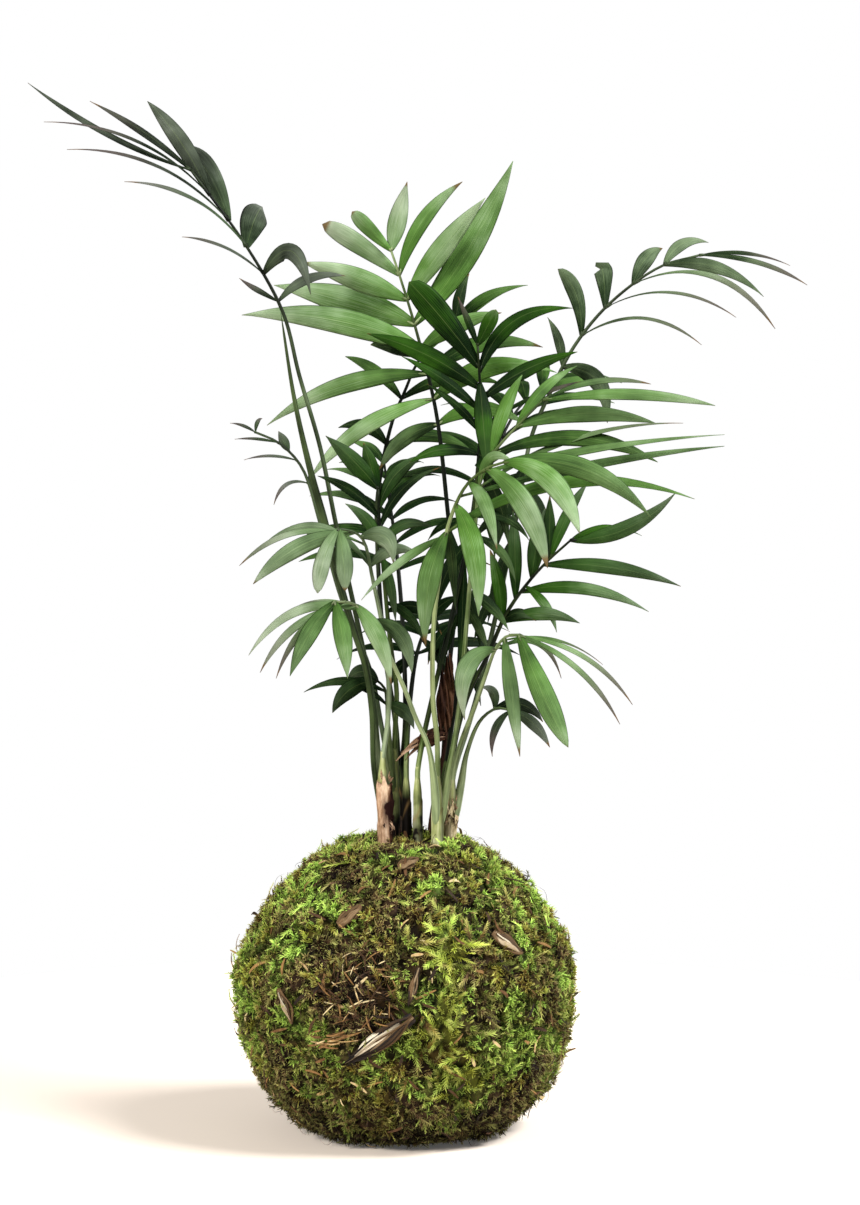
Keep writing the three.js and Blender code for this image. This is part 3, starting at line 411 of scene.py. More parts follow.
# The floor's radius in metres, and the lamps: place, what it points at, size, power and colour
FLOOR_R = 0.42
FLOOR_SIDES = 96
LAMPS = {
    "key_left": ((-1.9, -2.0, 1.7), (0, 0, 0.2), 1.2, 102, (1, 0.97, 0.92)),
    "key_right": ((2.1, -0.8, 2.4), (0, 0, 0.1), 1.4, 170, (0.98, 0.99, 1)),
}
SKY_LIGHT = 0.3  # how strongly the white surrounding lights the plant
SKY_SEEN = 1.0  # how bright it shows
SENSOR = 36  # width of the camera's sensor in millimetres


def unit(vectors):
    """The same vectors at length 1, along the last axis."""
    return vectors / np.maximum(np.linalg.norm(vectors, axis=-1, keepdims=True), 1e-12)


def smooth(low, high, value):
    """0 below low, 1 above high, and a smooth step between them."""
    share = np.clip((value - low) / (high - low), 0, 1)
    return share * share * (3 - 2 * share)


def linear(red, green, blue):
    """A colour as seen on a screen, from 0 to 255, as the shader reads it."""
    shares = [value / 255 for value in (red, green, blue)]
    return [s / 12.92 if s <= 0.04045 else ((s + 0.055) / 1.055) ** 2.4 for s in shares] + [1]


def fields(*values):
    """Values side by side along a new last axis, each spread over the shape of all of them."""
    return np.stack(np.broadcast_arrays(*values), -1)


def level(angle):
    """Level directions at angles from +X."""
    return fields(np.cos(angle), np.sin(angle), 0)


def lean_over(first, second, angle):
    """Two directions square to each other, turned by angles in their own plane."""
    cos, sin = np.cos(angle)[:, None], np.sin(angle)[:, None]
    return first * cos + second * sin, second * cos - first * sin


def uniforms(draw, low, high, count):
    return np.array([draw.uniform(low, high) for _ in range(count)])


def distance(points, place):
    return np.linalg.norm(points - np.array(place), axis=-1)


def nearness(points, place, reach):
    """1 at a place, and falling softly to 0 about twice its reach away."""
    return np.exp(-((distance(points, place) / reach) ** 2))


def in_depth(point):
    """A point of the front view, at its own depth on the line of sight."""
    x, y, z = point
    eye = VIEW_MIDDLE + VIEW_REACH * np.array([0, -math.cos(VIEW_RISE), math.sin(VIEW_RISE)])
    rise = z + VIEW_ZERO - VIEW_MIDDLE[2]
    sight = np.array([x, rise * math.sin(VIEW_RISE), VIEW_MIDDLE[2] + rise * math.cos(VIEW_RISE)]) - eye
    return eye + sight * (y - eye[1]) / sight[1]


def cubic(start, end, out, into, w):
    """Points at shares w between start and end, on a curve that leaves along out and arrives along into."""
    turn = (3 * (end - start) - 2 * out - into) * w**2
    return start + out * w + turn + (2 * (start - end) + out + into) * w**3


class Curve:
    """A centripetal Catmull-Rom curve through points, read by shares of its length."""

    DIVISIONS = 200
    STEP = 0.002

    def __init__(self, points):
        self.points = np.array(points, float)
        self.shares = np.linspace(0, 1, self.DIVISIONS + 1)
        steps = np.linalg.norm(np.diff(self.raw(self.shares), axis=0), axis=1)
        self.lengths = np.concatenate([[0], np.cumsum(steps)])
        self.length = self.lengths[-1]

    def raw(self, shares):
        """Points by even shares of each span."""
        p = self.points
        place = shares * (len(p) - 1)
        i = np.minimum(place.astype(int), len(p) - 2)
        before = np.vstack([2 * p[0] - p[1], p])[i]
        after = np.vstack([p, 2 * p[-1] - p[-2]])[i + 2]
        start, end = p[i], p[i + 1]
        spans = ((before, start), (start, end), (end, after))
        d0, d1, d2 = [np.linalg.norm(b - a, axis=1, keepdims=True) ** 0.5 for a, b in spans]
        out = ((start - before) / d0 - (end - before) / (d0 + d1) + (end - start) / d1) * d1
        into = ((end - start) / d1 - (after - start) / (d1 + d2) + (after - end) / d2) * d1
        return cubic(start, end, out, into, (place - i)[:, None])

    def at(self, shares):
        lengths = np.asarray(shares, float) * self.length
        return self.raw(np.interp(lengths, self.lengths, self.shares))

    def heading(self, shares):
        shares = np.asarray(shares, float)
        return unit(self.at(np.minimum(shares + self.STEP, 1)) - self.at(np.maximum(shares - self.STEP, 0)))


def add_object(name, data):
    """A new object in the scene."""
    made = bpy.data.objects.new(name, data)
    bpy.context.scene.collection.objects.link(made)
    return made


class Shape:
    """Points and faces gathered for one piece, with two values at each point.
    flow: shares along and across, and which side. tint: what the piece's material reads."""

    def __init__(self):
        self.points, self.faces, self.flow, self.tint = [], [], [], []
        self.count = 0

    def add(self, points, faces, flow, tint, kind=0):
        self.points.append(points)
        self.flow.append(np.broadcast_to(np.asarray(flow, float), points.shape))
        self.tint.append(np.broadcast_to(np.asarray(tint, float), points.shape))
        self.faces += [(polygons + self.count, kind) for polygons in faces]
        self.count += len(points)

    def add_loft(self, rings, flow, tint, kind=0, shade=0.0):
        """A closed body through rings, with flow and tint given once or for each point of the rings.
        shade: how much painted shade lowers its tone in the thick of the plant."""
        body, faces = loft(rings)
        flow, tint = [with_ends(values) if np.ndim(values) == 3 else values for values in (flow, tint)]
        self.add(body, faces, flow, shaded(body, tint, shade) if shade else tint, kind)

    def to_piece(self, name, slot, paints, *nodes, rounded=True):
        """Makes the piece, in place of the solids' nodes that are named."""
        corners = np.concatenate([polygons.ravel() for polygons, _ in self.faces])
        sizes = np.concatenate([np.full(len(polygons), polygons.shape[1]) for polygons, _ in self.faces])
        kinds = np.concatenate([np.full(len(polygons), kind) for polygons, kind in self.faces])
        mesh = bpy.data.meshes.new(name)
        mesh.vertices.add(self.count)
        mesh.vertices.foreach_set("co", (np.concatenate(self.points) * MM).ravel())
        mesh.loops.add(len(corners))
        mesh.loops.foreach_set("vertex_index", corners.astype(np.int32))
        mesh.polygons.add(len(sizes))
        mesh.polygons.foreach_set("loop_start", (np.cumsum(sizes) - sizes).astype(np.int32))
        mesh.polygons.foreach_set("material_index", kinds.astype(np.int32))
        mesh.polygons.foreach_set("use_smooth", np.full(len(sizes), rounded))
        mesh.update(calc_edges=True)
        for label, values in (("flow", self.flow), ("tint", self.tint)):
            layer = mesh.attributes.new(label, "FLOAT_VECTOR", "POINT")
            layer.data.foreach_set("vector", np.concatenate(values).astype(np.float32).ravel())
        for paint in paints:
            mesh.materials.append(PAINTS[paint])
        piece = add_object(name, mesh)
        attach(piece, "root")
        if nodes:
            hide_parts(*nodes)


def volume(points, faces):
    """Signed volume inside faces, positive where they point out."""
    total = 0
    for polygons in faces:
        a = points[polygons[:, 0]]
        for k in range(1, polygons.shape[1] - 1):
            total += np.einsum("ij,ij->", a, np.cross(points[polygons[:, k]], points[polygons[:, k + 1]]))
    return total / 6


def loft(rings):
    """Points and faces of a closed body through rings of points, each end closed by a fan."""
    count, sides, _ = rings.shape
    points = with_ends(rings)
    k = np.arange(sides)
    after = (k + 1) % sides
    base = sides * np.arange(count - 1)[:, None]
    quads = fields(base + k, base + after, base + sides + after, base + sides + k).reshape(-1, 4)
    last = (count - 1) * sides
    foot = fields(count * sides, after, k)
    head = fields(count * sides + 1, last + k, last + after)
    faces = [quads, np.vstack([foot, head])]
    if volume(points, faces) < 0:
        faces = [polygons[:, ::-1] for polygons in faces]
    return points, faces


def with_ends(values):
    """Values of a loft's rings as one list, with the middles of its first and last ring after them."""
    return np.vstack([values.reshape(-1, values.shape[-1]), values[0].mean(0), values[-1].mean(0)])


def two_sided(top, under, shared=0):
    """Rings over a plate's top and back along its under side. shared: 1 where both meet in a sharp edge."""
    return np.concatenate([top, under[:, shared:under.shape[1] - shared][:, ::-1]], axis=1)


def turning_frames(points):
    """Two vectors across a line of points at each of them, without twist."""
    heading = unit(np.gradient(points, axis=0))
    side = np.array([1.0, 0.0, 0.0])
    sides = []
    for ahead in heading:
        side = side - ahead * (side @ ahead)
        side = side / np.linalg.norm(side)
        sides.append(side)
    sides = np.array(sides)
    return sides, np.cross(heading, sides)


def tube_rings(points, radii, sides):
    """Rings round a line of points. radii: one for each ring, or for each of its sides."""
    first, second = turning_frames(points)
    angle = 2 * math.pi * np.arange(sides)[:, None] / sides
    out = first[:, None] * np.cos(angle) + second[:, None] * np.sin(angle)
    return points[:, None] + out * radii[..., None]


def shade_inside(points):
    """How deep a point lies in the thick of the plant, from 0 to 1. Leaves and stalks there get painted
    shade.
    """
    x, y, z = points[..., 0], points[..., 1], points[..., 2]
    x, z = (x - THICK[0]) / THICK_REACH[0], (z - THICK[1]) / THICK_REACH[1]
    return np.exp(-(x**2) - z**2) * smooth(-22, 22, y)


def shaded(points, tint, depth):
    """A piece's tint at each of its points, with painted shade lowering the tone inside the plant."""
    tint = np.broadcast_to(np.asarray(tint, float), (len(points), 3)).copy()
    tint[:, 0] -= depth * shade_inside(points)
    return tint


def add_tube(shape, points, radii, tint, sides, kind=0):
    """A round stalk along points. flow: share along, share round, 0."""
    flow = fields(np.linspace(0, 1, len(points))[:, None], np.arange(sides) / sides, 0)
    shape.add_loft(tube_rings(points, radii[:, None], sides), flow, tint, kind, STALK_SHADE)


def blade_outline(u, blunt):
    """Half width along a leaflet as a share of its widest: a narrow root, and a long point or a blunt end."""
    widest, root = 0.4 + 0.32 * blunt, 0.22
    rising = root + (1 - root) * np.sin(math.pi / 2 * np.minimum(u / widest, 1)) ** 0.9
    falling = np.cos(math.pi / 2 * np.clip((u - widest) / (1 - widest), 0, 1)) ** (1.02 - 0.6 * blunt)
    return np.where(u < widest, rising, falling)


def add_blade(shape, root, tip, width, bow, tilt, tint, draw, crumple=0.0, blunt=0.0):
    """A leaflet from root to tip, arching by bow over its chord, its face tilted from upright."""
    root, tip = np.array(root, float), np.array(tip, float)
    chord = tip - root
    along = unit(chord)
    lift = unit(UP - along * (UP @ along)) * bow * 4 / 3
    u = np.linspace(0, 1, BLADE_STATIONS)
    weights = fields((1 - u) ** 3, 3 * u * (1 - u) ** 2, 3 * u**2 * (1 - u), u**3)
    centre = weights @ np.array([root, root + chord / 3 + lift, root + chord * 2 / 3 + lift, tip])
    tangent = unit(np.gradient(centre, axis=0))
    lean = math.radians(tilt)
    across = unit(np.cross(tangent, (0, -math.cos(lean), math.sin(lean))))
    twist = TWIST * draw.uniform(-1, 1) * (u - 0.25)
    twist = twist + draw.uniform(-0.5, 0.5) * crumple * np.sin(5 * u)
    across, normal = lean_over(across, np.cross(across, tangent), twist)
    u = u[:, None]
    half = np.maximum(BLADE_EDGE, width / 2 * BLADE_SLIM * blade_outline(u, blunt))
    v = np.linspace(-1, 1, BLADE_ACROSS)[None, :]
    ridges = np.where(np.arange(BLADE_ACROSS) % 2 == 0, PLEAT, -PLEAT) * np.minimum(half / 3, 1)
    phase = draw.uniform(0, 6.28)
    waves = RIPPLE * np.sin(u * draw.uniform(7, 12) + phase) * np.sin(math.pi * u) * v**3
    waves = waves * np.minimum(half / 4, 1)
    crush = crumple * (np.sin(9 * u + phase) * v + np.cos(14 * u + 4 * v))
    height = ridges + waves + crush - BLADE_FOLD * half * np.abs(v) ** 1.5
    sideways = half * v * (1 + draw.uniform(-0.08, 0.08) * np.sign(v))
    place = centre[:, None] + across[:, None] * sideways[..., None] + normal[:, None] * height[..., None]
    thick = normal[:, None] * (BLADE_THICK / 2 * (1 - 0.5 * u) * (1 - v**2) ** 0.5)[..., None]
    flow = two_sided(fields(u, v, 1), fields(u, v, -1), 1)
    shape.add_loft(two_sided(place + thick, place - thick, 1), flow, tint, LEAF, LEAF_SHADE)
    return centre


# Stalks, stems and fronds


def stem_axis(stem, heights):
    """The middle of a stem at each height."""
    foot, top = np.array(stem["foot"], float), np.array(stem["top"], float)
    heights = np.asarray(heights, float)
    share = ((heights - STEM_FOOT) / (stem["height"] - STEM_FOOT))[..., None]
    plan = foot + (top - foot) * share
    return np.concatenate([plan, heights[..., None]], -1)


def stalk_curve(frond):
    """A stalk from its seat, in its stem's top or along its stem's side, to its tip."""
    stem = STEMS[frond["stem"]]
    if "clasp" in frond:
        angle = math.radians(frond["clasp"])
        away = max(stem["r"]) + np.array([-SUNK, GAP + STALK_R - 0.4])[:, None]
        seats = stem_axis(stem, stem["height"] + np.array([-CLASP, -2]))
        seats = seats + away * np.array([math.cos(angle), math.sin(angle), 0])
    else:
        seats = stem_axis(stem, stem["height"] + np.array([-SOCKET_DEPTH, -2, 2]))
    path = [p if "side" in frond else in_depth(p) for p in frond["path"]]
    return Curve(list(seats) + path)


def leaflet_shares(curve, leafy, count):
    """How far along a stalk each of the leaflets on one side of it stands."""
    start = 1 - leafy / curve.length
    return start + (1 - start) * np.arange(count) / (count - 1)


def make_random(seed):
    """The small generator that the solids of the back fronds draw from."""
    state = seed
    while True:
        state = state * DRAW_FACTOR % DRAW_SPAN
        yield state / DRAW_SPAN


def ruled_leaflets(frond, sign, draws):
    """Leaflets of a back frond: pairs that shorten to the tip, spread sideways and droop."""
    curve = stalk_curve(frond)
    places = leaflet_shares(curve, frond["leafy"], frond["pairs"])
    side = sign * np.array(frond["side"])
    found = []
    for share, root, ahead in zip(np.linspace(0, 1, len(places)), curve.at(places), curve.heading(places)):
        length = frond["reach"] * (1 - 0.35 * share) * (0.92 + 0.16 * next(draws))
        swing = 0.35 + 0.75 * share
        tip = root + (side * math.cos(swing) + ahead * math.sin(swing)) * length
        tip[2] -= length * (0.15 + 0.2 * next(draws))
        found.append((*tip, 7 + 2.5 * next(draws), length * 0.14, 65))
    return found


def stalk_radii(frond, curve, u):
    """Full where the stalk stands in its stem. Where it clasps the side, a sheath that swells and narrows."""
    even = (STALK_R + (RACHIS_R - STALK_R) * u) * (1 - 0.3 * smooth(0.6, 1, u))
    if "clasp" not in frond:
        return even
    height = u * curve.length
    swell = 0.75 * smooth(0, 9, height) * (1 - smooth(14, 38, height))
    return np.minimum(even, 0.4 + 0.35 * height) + swell


def crowding(root, tip):
    """How deep in the crown a leaflet stands, from 0 at the rim to 1 in its heart, where it gets painted
    shade.
    """
    return nearness(((root + tip) / 2)[[0, 2]], HEART, HEART_REACH)


def withered(width, chance):
    """A leaflet's chance value, or 1 to 2 where it is so narrow that its tip has dried."""
    dried = 1 - smooth(3.2, 5.4, width)
    return 1 + dried if dried > 0.2 else chance


def make_frond(frond, index):
    """A frond's stalk and its leaflets, each joined to the stalk by a small collar."""
    tone, grey, foot_tone, stalk_tone = frond["look"]
    # fronds marked dark take a darker copy of the leaf paint: painted shade
    leaf = "leaf_dark" if "dark" in frond else "leaf"
    draw = random.Random(100 + index)
    shape = Shape()
    curve = stalk_curve(frond)
    u = np.linspace(0, 1, max(24, round(curve.length / 4)))
    line = curve.at(u)
    tones = foot_tone + (stalk_tone - foot_tone) * smooth(*frond.get("turn", (0.55, 0.85)), u)
    seat = 1 - smooth(16, 42, u * curve.length)
    tones = tones + seat * (STEMS[frond["stem"]]["tone"] - SEAT_SHADE - tones)
    tint = fields(np.repeat(tones[:, None], STALK_SIDES, 1), grey, draw.random())
    add_tube(shape, line, stalk_radii(frond, curve, u), tint, STALK_SIDES, STALK)
    for tips in (frond["left"], frond["right"]):
        roots = curve.at(leaflet_shares(curve, frond["leafy"], len(tips)))
        for root, (x, y, z, width, bow, tilt, blunt) in zip(roots, [(*tip, -1)[:7] for tip in tips]):
            tip = np.array((x, y, z)) if "side" in frond else in_depth((x, y, z))
            # painted shade and painted light through the leaves: leaflets in the heart of the crown turn a
            # deep, saturated green
            heart_shade = 0 if "dark" in frond else crowding(root, tip)
            leaf_tone = tone + heart_shade * (HEART_SHADE_TONE - tone) + draw.uniform(-TONE_SPREAD, TONE_SPREAD)
            leaf_grey = grey + heart_shade * (HEART_SHADE_GREY - grey) + draw.uniform(-GREY_SPREAD, GREY_SPREAD)
            tint = (leaf_tone, leaf_grey, withered(width, draw.random()))
            end = blunt if blunt >= 0 else draw.uniform(0, 0.35)
            centre = add_blade(shape, root, tip, width, bow, tilt, tint, draw, blunt=end)
            collar = np.array([centre[0], (centre[0] + centre[1]) / 2, centre[1]])
            add_tube(shape, collar, COLLAR_R, (stalk_tone, grey, draw.random()), 6, STALK)
    for height, *tip, width, bow, tilt, leaf_tone in frond.get("inner", ()):
        root = line[np.abs(line[:, 2] - height).argmin()]
        tint = (leaf_tone, grey + draw.uniform(-0.1, 0.3), draw.random())
        add_blade(shape, root, in_depth(tip), width, bow, tilt, tint, draw)
    shape.to_piece("fine_" + frond["name"], leaf, [leaf, "stalk"], frond["name"])


def make_stem(key, stem):
    """A stem wrapped in leaf sheaths: the outer has a slanting mouth, and the top draws in to the stalk."""
    low, high = STEM_FOOT + STEM_HIDDEN, stem["height"]
    heights = np.arange(low, high + 5, STEM_STEP)
    z = heights[:, None]
    share = np.arange(STEM_SIDES) / STEM_SIDES
    angle = 2 * math.pi * share
    past_mouth = z - stem["mouth"] - 4.5 * np.cos(angle - 1 - ord(key))
    even = stem["r"][0] + (stem["r"][1] - stem["r"][0]) * (z - STEM_FOOT) / (high - STEM_FOOT)
    radius = even * (1 - 0.16 * smooth(-0.3, 0.5, past_mouth)) * (1 - 0.58 * smooth(high - 9, high + 4, z))
    radius = radius * (0.96 + 0.03 * np.cos(5 * angle + 0.1 * z) + 0.015 * np.cos(9 * angle))
    radius = radius + 0.3 * (1 - smooth(low, low + 9, z))
    rings = stem_axis(stem, heights)[:, None] + level(angle) * radius[..., None]
    flow = fields(z / 100, share, np.exp(-((past_mouth / 1.3) ** 2)))
    dryness = stem["dry"] * (1 - smooth(low + 6, low + 34, z))
    shape = Shape()
    shape.add_loft(rings, flow, fields(stem["tone"], dryness, np.full(STEM_SIDES, ord(key) % 7 / 7)))
    shape.to_piece("fine_stem_" + key, "stem", ["stem"], "stem_" + key)


def make_spear():
    """The rolled new leaf: a slim rod that swells and runs to a point, its rolled edge a shallow groove."""
    u = np.linspace(0, 1, SPEAR_ROWS)[:, None]
    radii = np.interp(u, (0, 0.6, 1), SPEAR["r"]) * np.interp(u, (0.96, 1), (1, 0.2))
    share = np.arange(SPEAR_SIDES) / SPEAR_SIDES
    groove = 1 - 0.22 * np.exp(-(((share - 0.5 - 0.2 * u) / 0.06) ** 2))
    rings = tube_rings(stalk_curve(SPEAR).at(u[:, 0]), radii * groove, SPEAR_SIDES)
    shape = Shape()
    shape.add_loft(rings, fields(u, share, 0), (0.2, 0.5, 0.3))
    shape.to_piece("fine_spear_leaf", "stem", ["stalk"], "spear_leaf")


def make_dry_leaf():
    """The dead leaf among the stems: crumpled dark blades, and a paler tail split into three."""
    draw = random.Random(31)
    shape = Shape()
    stalk = Curve(DRY_LEAF["path"]).at(np.linspace(0, 1, 30))
    add_tube(shape, stalk, np.linspace(1.1, 0.9, 30), (0.12, 0.2, 0.3), 9)
    root = stalk[-1] - 2 * UP
    (*tip, width, bow, tilt), tail = DRY_LEAF["leaflets"]
    for shift, reach, tone in DRY_BLADES:
        end = root + (tip - root) * reach + 0.8 * np.array(shift)
        add_blade(shape, root + shift, end, width * 0.8, bow, tilt, (tone, 0.15, 0.2), draw, 0.85)
    *tip, width, bow, tilt = tail
    for lift, reach, tone in DRY_TAILS:
        start, end = root + lift / 2 * UP, root + (tip + lift * UP - root) * reach
        wide, crush = (0.5, 0.35) if reach > 0.7 else (1.25, 0.8)
        add_blade(shape, start, end, width * wide, bow, tilt, (tone, 0.05, 0), draw, crush)
    shape.to_piece("fine_dry_leaf", "dry", ["dry"], "dry_leaf")


def make_sheath(sheath, index):
    """A dry leaf base: a thin fibrous plate round part of a stem, with a ragged top, a torn place and painted
    shade on one side.
    """
    draw = random.Random(41 + index)
    shaft = STEMS[sheath["stem"]]
    hug = max(shaft["r"])
    across = np.linspace(0, 1, SHEATH_ACROSS)
    share = np.linspace(0, 1, SHEATH_ROWS)[:, None]
    ragged = 1.6 * uniforms(draw, -1, 1, SHEATH_ACROSS) + 2.4 * np.sin(19 * across + 2 * index)
    high = sheath["high"] + ragged - 5 * smooth(0.55, 1, across) - 5 * np.abs(2 * across - 1) ** 3
    z = sheath["low"] - 3 + (high - sheath["low"]) * share
    first, last = np.radians(sheath["arc"])
    arc = first + (last - first) * across
    arc = arc + 0.09 * np.sin(z / 2.3 + 3 * index) * np.sin(z / 5.1) * (2 * across - 1)
    # the torn place: a shallow dent painted dark, partly painted shade in the tear
    hole = 1.6 * np.exp(-(((z - 142) / 4.6) ** 2)) * smooth(0.2, 0.5, across) * (1 - index)
    ribs = 0.1 * (np.cos(arc * 19 + z / 9) + np.cos(arc * 31 + z / 4))
    away = (hug + 0.25 + 0.9 * share**4 + ribs - 0.15 * hole)[..., None]
    axis = stem_axis(shaft, z)
    rings = two_sided(axis + level(arc) * (away + SHEATH_THICK), axis + level(arc) * away)
    pale = 0.76 + 0.16 * index + 0.15 * np.sin(5 * across + z / 13)
    # painted shade: the sheath darkens towards the stem's shaded side
    pale = pale - (0.75 - 0.5 * index) * smooth(0.5, 0.78, across)
    flow, tint = fields(z / 20, across, 0), fields(pale, 0.05 + 0.9 * index, hole)
    shape = Shape()
    shape.add_loft(rings, two_sided(flow, flow), two_sided(tint, tint))
    middle = math.radians(sheath["arc"][0] * 0.4 + sheath["arc"][1] * 0.6)
    for i in range(SLIVERS):
        high_up = i >= SLIVERS_BELOW
        foot = stem_axis(shaft, (sheath["high"] - 7 if high_up else 135.5) + draw.uniform(0, 6))
        outward = level(middle + draw.uniform(-0.75, 0.75))
        start = foot + outward * (hug + 0.35)
        end = start + outward * draw.uniform(0.3, 1.9) + UP * draw.uniform(1, 5) * (1 if high_up else -1)
        tint = (0.7, 0.1, 0) if high_up or i % 3 == 0 else (0.1, 0.1, 0.7 - 0.6 * index)
        add_blade(shape, start, end, draw.uniform(0.6, 1.7), 0.3, 10, tint, draw, 0.25)
    shape.to_piece("fine_" + sheath["name"], "dry", ["dry"], sheath["name"])


# The ball


def spline_points(points, count):
    """Points spread evenly along an even Catmull-Rom curve that stays on its end points."""
    points = np.array(points, float)
    place = np.linspace(0, len(points) - 1, 600)
    i = np.minimum(place.astype(int), len(points) - 2)
    a, b, c, d = [points[np.clip(i + k, 0, len(points) - 1)] for k in (-1, 0, 1, 2)]
    dense = cubic(b, c, (c - a) / 2, (d - b) / 2, (place - i)[:, None])
    lengths = np.concatenate([[0], np.cumsum(np.linalg.norm(np.diff(dense, axis=0), axis=1))])
    wanted = np.linspace(0, lengths[-1], count)
    return np.stack([np.interp(wanted, lengths, values) for values in dense.T], -1)


def moss_lump(p):
    """How far the moss stands out or in, in lumps about 25 mm across, as in the solids."""
    x, y, z = p[..., 0], p[..., 1], p[..., 2]
    wave = np.sin(x / 9 + 1.3) * np.cos(y / 8 - 0.4) + np.sin(z / 7 + x / 13) * np.cos(y / 15 + z / 21)
    return MOSS_LUMP * wave / 2


def clouds(points, size, shift=0.0):
    """Soft noise from about -1 to 1 at each point, in clouds of a size."""
    flat = points.reshape(-1, 3) / size + shift
    return np.array([noise.noise(Vector(p)) for p in flat]).reshape(points.shape[:-1])


def outward_at(points):
    return unit(points - np.array([0, 0, BALL_MIDDLE]))


def lumpy(points):
    """Points of the even ball, moved out or in to its lumps."""
    return points + outward_at(points) * moss_lump(points)[..., None]


def turned(r, angle, z):
    """Points at a radius and a height, at angles round the ball from its front."""
    return fields(r * np.sin(angle), -r * np.cos(angle), z)


def turned_grid(profile, sides):
    """Points of a turned surface: one ring for each point of its half section."""
    profile = np.array(profile, float)
    return turned(profile[:, 0:1], 2 * math.pi * np.arange(sides) / sides, profile[:, 1:2])


def make_moss_base(clumps):
    """The moss that the shoots stand in: a little inside the solid's form, clumped and rough, in painted
    shade.
    """
    even = turned_grid(spline_points(MOSS_OUTSIDE, BASE_ROWS), BASE_SIDES)
    row = np.arange(BASE_ROWS)[:, None]
    rough = clumps.rise(*clumps.near(lumpy(even))) + 0.7 * clouds(even, 3.1, 5.0)
    moved = (moss_lump(even) - BASE_INSET + rough) * smooth(0, 6, row) * smooth(0, 4, BASE_ROWS - 1 - row)
    outer = even + outward_at(even) * moved[..., None]
    outer[..., 2] = np.maximum(outer[..., 2], 0)
    inside = turned_grid(MOSS_INSIDE + [(0.5, MOSS_FLOOR)], BASE_SIDES)
    under = turned_grid([(0.5, 0), (18, 0)], BASE_SIDES)
    body, faces = loft(np.concatenate([under, outer, inside]))
    found, apart = clumps.near(body)
    # painted shade: the moss under the shoots is darker, darkest in the gaps between clumps
    tint = fields(clumps.tone[found] - 0.15, 0.4, 0.5 + 0.5 * clouds(body, 2.0))
    shape = Shape()
    shape.add(body, faces, fields(clumps.ochre[found], smooth(0, 4, apart), 0), tint)
    shape.to_piece("fine_moss_base", "moss", ["moss_base"], "moss_wrap")


def make_soil():
    """The soil: the solid's form, with a crumbly mound."""
    wall = [(r - GAP, z) for r, z in MOSS_INSIDE[:0:-1]]
    mound = [tuple(point) for point in spline_points(SOIL_MOUND, SOIL_ROWS)[:-1]]
    rings = turned_grid([(0.5, MOSS_FLOOR + GAP), *wall, *mound, (0.4, SOIL_MOUND[-1][1])], SOIL_SIDES)
    crumbs = 0.8 * clouds(rings, 4) + 0.6 * clouds(rings, 1.7, 3.0)
    shape = Shape()
    shape.add_loft(rings + UP * (crumbs * smooth(118, 125, rings[..., 2]))[..., None], (0, 0, 0), (0, 0, 0))
    shape.to_piece("fine_soil", "soil", ["soil"], "soil_core")


def moss_tone(points):
    """Moss colour at points: 0 dark brown, 0.3 brown, 0.5 olive, 0.75 green, 1 bright green."""
    tone = 0.6 + 0.4 * clouds(points, 16, 2.0) - 0.55 * (1 - smooth(4, 34, points[..., 2]))
    return tone + sum(shift * nearness(points, place, reach) for place, reach, shift in MOSS_PATCHES)


def moss_places(count, seed):
    """Points spread evenly over the moss and the mound, with the directions out of it there."""
    draw = np.random.default_rng(seed)
    skin = spline_points(MOSS_OUTSIDE + [(20, 128.2), (11, 128.8), (0.6, 129.2)], 400)
    step = np.diff(skin, axis=0)
    area = np.linalg.norm(step, axis=1) * (skin[:-1, 0] + skin[1:, 0])
    total = np.concatenate([[0], np.cumsum(area)])
    share = (np.arange(count) + draw.uniform(0, 1, count)) / count
    place = np.interp(share * total[-1], total, np.arange(400))
    r, z = [np.interp(place, np.arange(400), values) for values in skin.T]
    angle = np.arange(count) * GOLDEN_ANGLE + draw.normal(0, 0.05, count)
    slope = unit(step[np.minimum(place.astype(int), 398)])
    return lumpy(turned(r, angle, z)), turned(slope[:, 1], angle, -slope[:, 0])


def flake_ends(flake):
    """Both ends of a flake, on the ball."""
    return [on_moss(*behind_view(*end), 0) for end in flake["ends"]]


def clear_of_flakes(points):
    """1 where a point isn't under a flake, and 0 where it is."""
    free = np.ones(len(points))
    for flake in FLAKES:
        start, end = flake_ends(flake)
        along = end - start
        share = np.clip((points - start) @ along / (along @ along), 0.05, 0.95)
        apart = np.linalg.norm(points - start - share[:, None] * along, axis=1)
        free *= apart > 0.45 * flake["width"] + 0.6
    return free


